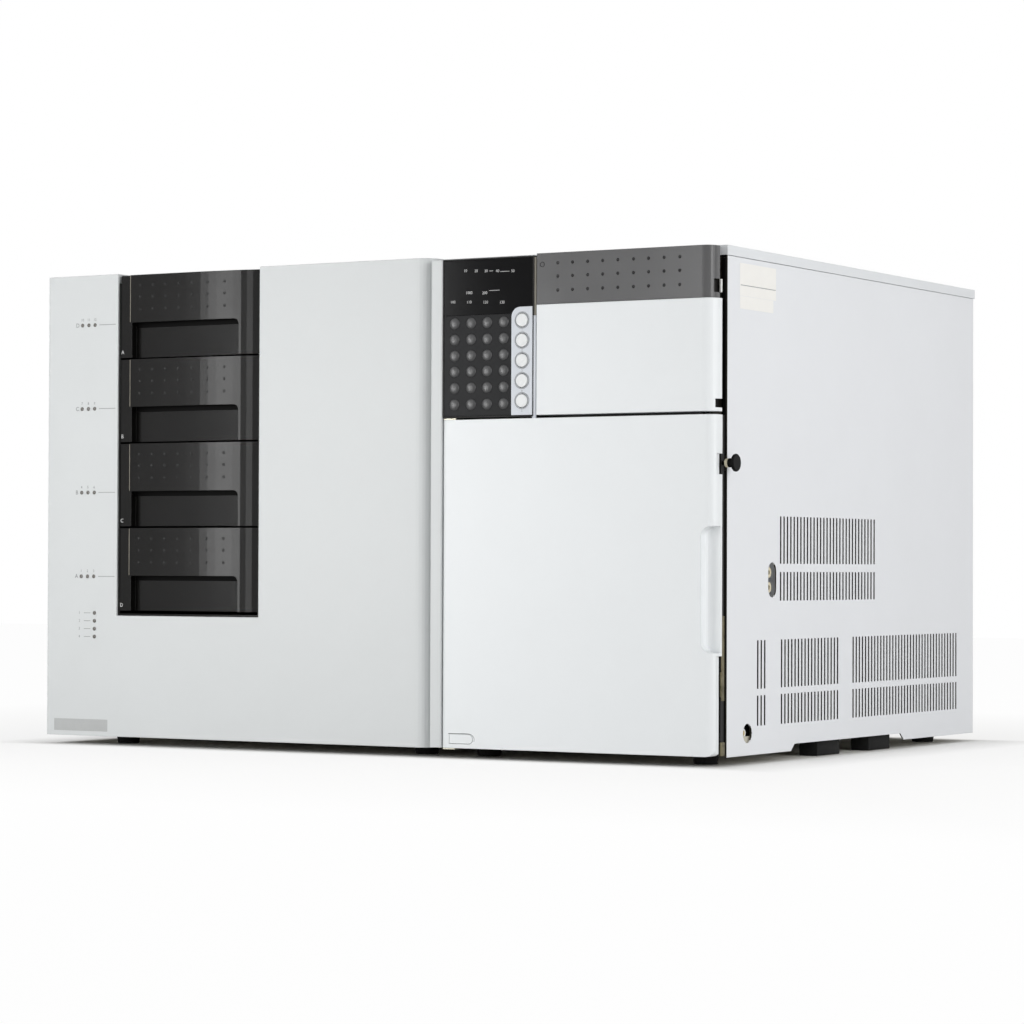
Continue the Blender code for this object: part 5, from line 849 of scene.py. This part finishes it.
def addScrews():
    look = screwLook
    pickNothing()
    bpy.ops.mesh.primitive_cylinder_add(vertices=24, radius=look["radius"] / 1000, depth=look["head"] / 1000,
                                        location=(0, 0, look["head"] / 2000))
    screw = bpy.context.object
    settle(screw, 0)
    pickFaces(screw, lambda face: face.normal.z > 0.9)
    insetBy(look["radius"] - look["socket"], 0)
    insetBy(look["slope"], -look["sink"])
    bpy.ops.object.mode_set(mode="OBJECT")
    bevelled(screw, look["round"], 2)
    pickOnly(screw)
    bpy.ops.object.shade_smooth_by_angle(angle=math.radians(35))
    heads = []
    for across, part in screwColumns.items():
        for up in screwRows:
            place, normal = touch(part, across, up, towards=(0, -1, 0), reach=700)
            heads.append(copyAt(screw, place, Vector((0, 1, 0))))
    bpy.data.objects.remove(screw)
    dress(joinAs("rear_screws", heads), "groundSteel", "housing")
    print("rear screws,", len(heads))


addScrews()

# camera at the viewing angle, pale floor and soft light
cameraLook = dict(across=1198.6, back=-2303.9, up=161.5, yaw=30.936, pitch=0.959, roll=0.1996, lens=117.67)


def addCamera():
    yaw, pitch, roll = (math.radians(cameraLook[k]) for k in ("yaw", "pitch", "roll"))
    ahead = Vector((-math.sin(yaw) * math.cos(pitch), math.cos(yaw) * math.cos(pitch), math.sin(pitch)))
    right = Vector((math.cos(yaw), math.sin(yaw), 0))
    above = right.cross(ahead)
    rolledRight = right * math.cos(roll) + above * math.sin(roll)
    rolledAbove = above * math.cos(roll) - right * math.sin(roll)
    data = bpy.data.cameras.new("studioCamera")
    data.lens = cameraLook["lens"]
    data.sensor_width = 36
    data.clip_start = 0.05
    data.clip_end = 60
    camera = bpy.data.objects.new("studioCamera", data)
    bpy.context.collection.objects.link(camera)
    turn = Matrix((rolledRight, rolledAbove, -ahead)).transposed()
    stand = spot(cameraLook["across"], cameraLook["back"], cameraLook["up"])
    camera.matrix_world = Matrix.Translation(stand) @ turn.to_4x4()
    bpy.context.scene.camera = camera


# the floor keeps the shadow close to the object and fades to white; the reaches are in metres
floorLook = dict(colour=(0.90, 0.895, 0.88), mottle=400, mottleDark=0.985, size=9.0, nearLift=0.72, farLift=0.97,
                 nearX=0.07, nearY=0.02, far=0.55, underSide=0.012)


def addSeen(tree):
    # one for rays that come from the camera, or by way of metal and glass
    rays = tree.nodes.new("ShaderNodeLightPath")
    direct = addMath(tree, "ADD", rays.outputs["Is Camera Ray"], rays.outputs["Is Glossy Ray"], True)
    return addMath(tree, "ADD", direct, rays.outputs["Is Transmission Ray"], True)


def addFloor():
    pickNothing()
    bpy.ops.mesh.primitive_plane_add(size=floorLook["size"], location=(0, 0, -0.0002))
    floor = bpy.context.object
    floor.name = "studio_floor"
    finish, tree, shader, place = startFinish("floorPaper", dict(rough=0.85, specular=0.1))
    mottle = addPattern(tree, place, floorLook["mottle"], detail=3)
    low = shade(floorLook["colour"], floorLook["mottleDark"])
    tree.links.new(addRamp(tree, mottle, [(0.35, low), (0.65, floorLook["colour"])]), shader.inputs["Base Color"])
    # how far outside the object's footprint a place lies, in metres
    split = tree.nodes.new("ShaderNodeSeparateXYZ")
    tree.links.new(place.outputs["Object"], split.inputs["Vector"])
    half = (cadBox[1] - cadBox[0]) / 2
    outX = addMath(tree, "SUBTRACT", addMath(tree, "ABSOLUTE", split.outputs["X"]),
                   half.x - floorLook["underSide"])
    outY = addMath(tree, "SUBTRACT", addMath(tree, "ABSOLUTE", split.outputs["Y"]), half.y)
    outside = addMath(tree, "MAXIMUM", outX, outY)
    near = addMath(tree, "MAXIMUM", addMath(tree, "DIVIDE", outX, floorLook["nearX"], True),
                   addMath(tree, "DIVIDE", outY, floorLook["nearY"], True))
    far = addMath(tree, "DIVIDE", outside, floorLook["far"], True)
    growth = addMath(tree, "MULTIPLY", far, floorLook["farLift"] - floorLook["nearLift"])
    lift = addMath(tree, "MULTIPLY", near, addMath(tree, "ADD", growth, floorLook["nearLift"]))
    glow = tree.nodes.new("ShaderNodeEmission")
    glow.inputs["Strength"].default_value = 1
    blend = tree.nodes.new("ShaderNodeMixShader")
    tree.links.new(addMath(tree, "MULTIPLY", addSeen(tree), lift), blend.inputs["Fac"])
    tree.links.new(shader.outputs[0], blend.inputs[1])
    tree.links.new(glow.outputs[0], blend.inputs[2])
    tree.links.new(blend.outputs[0], tree.nodes["Material Output"].inputs["Surface"])
    floor.data.materials.append(finish)


roomLevel = 0.34
lamps = {
    "keyLamp": dict(place=(-2.2, -1.9, 1.5), aim=(0, 0, 0.2), size=(1.4, 1.4), power=8.0),
    "frontLamp": dict(place=(0.2, -2.6, 2.4), aim=(0, 0, 0.2), size=(1.6, 1.0), power=5.5),
    "sideLamp": dict(place=(2.3, -0.65, 0.8), aim=(0.2, 0, 0.2), size=(1.3, 1.6), power=26.5),
    "topLamp": dict(place=(0.1, 0.1, 2.6), aim=(0, 0, 0), size=(1.8, 1.4), power=10),
    "leftStrip": dict(place=(-0.78, -1.28, 0.31), aim=(-0.15, -0.25, 0.28), size=(0.03, 0.6), power=1.0),
    "flankStrip": dict(place=(-0.565, -1.16, 0.29), aim=(-0.15, -0.25, 0.27), size=(0.115, 0.5), power=2.6),
    "middleStrip": dict(place=(-0.28, -1.54, 0.31), aim=(-0.14, -0.25, 0.28), size=(0.09, 0.6), power=1.8),
}


def addLamp(name, look):
    data = bpy.data.lights.new(name, "AREA")
    data.shape = "RECTANGLE"
    data.size, data.size_y = look["size"]
    data.energy = look["power"]
    lamp = bpy.data.objects.new(name, data)
    bpy.context.collection.objects.link(lamp)
    lamp.location = look["place"]
    lamp.rotation_euler = (Vector(look["aim"]) - Vector(look["place"])).to_track_quat("-Z", "Y").to_euler()


def addLights():
    world = bpy.data.worlds.new("studioRoom")
    bpy.context.scene.world = world
    world.use_nodes = True
    tree = world.node_tree
    room = tree.nodes["Background"]
    room.inputs["Color"].default_value = (1, 1, 1, 1)
    room.inputs["Strength"].default_value = roomLevel
    white = tree.nodes.new("ShaderNodeBackground")
    white.inputs["Color"].default_value = (1, 1, 1, 1)
    white.inputs["Strength"].default_value = 1
    blend = tree.nodes.new("ShaderNodeMixShader")
    tree.links.new(addSeen(tree), blend.inputs["Fac"])
    tree.links.new(room.outputs[0], blend.inputs[1])
    tree.links.new(white.outputs[0], blend.inputs[2])
    tree.links.new(blend.outputs[0], tree.nodes["World Output"].inputs["Surface"])
    for name, look in lamps.items():
        addLamp(name, look)


addCamera()
addFloor()
addLights()
bpy.context.scene.view_settings.view_transform = "Standard"
print("studio set")
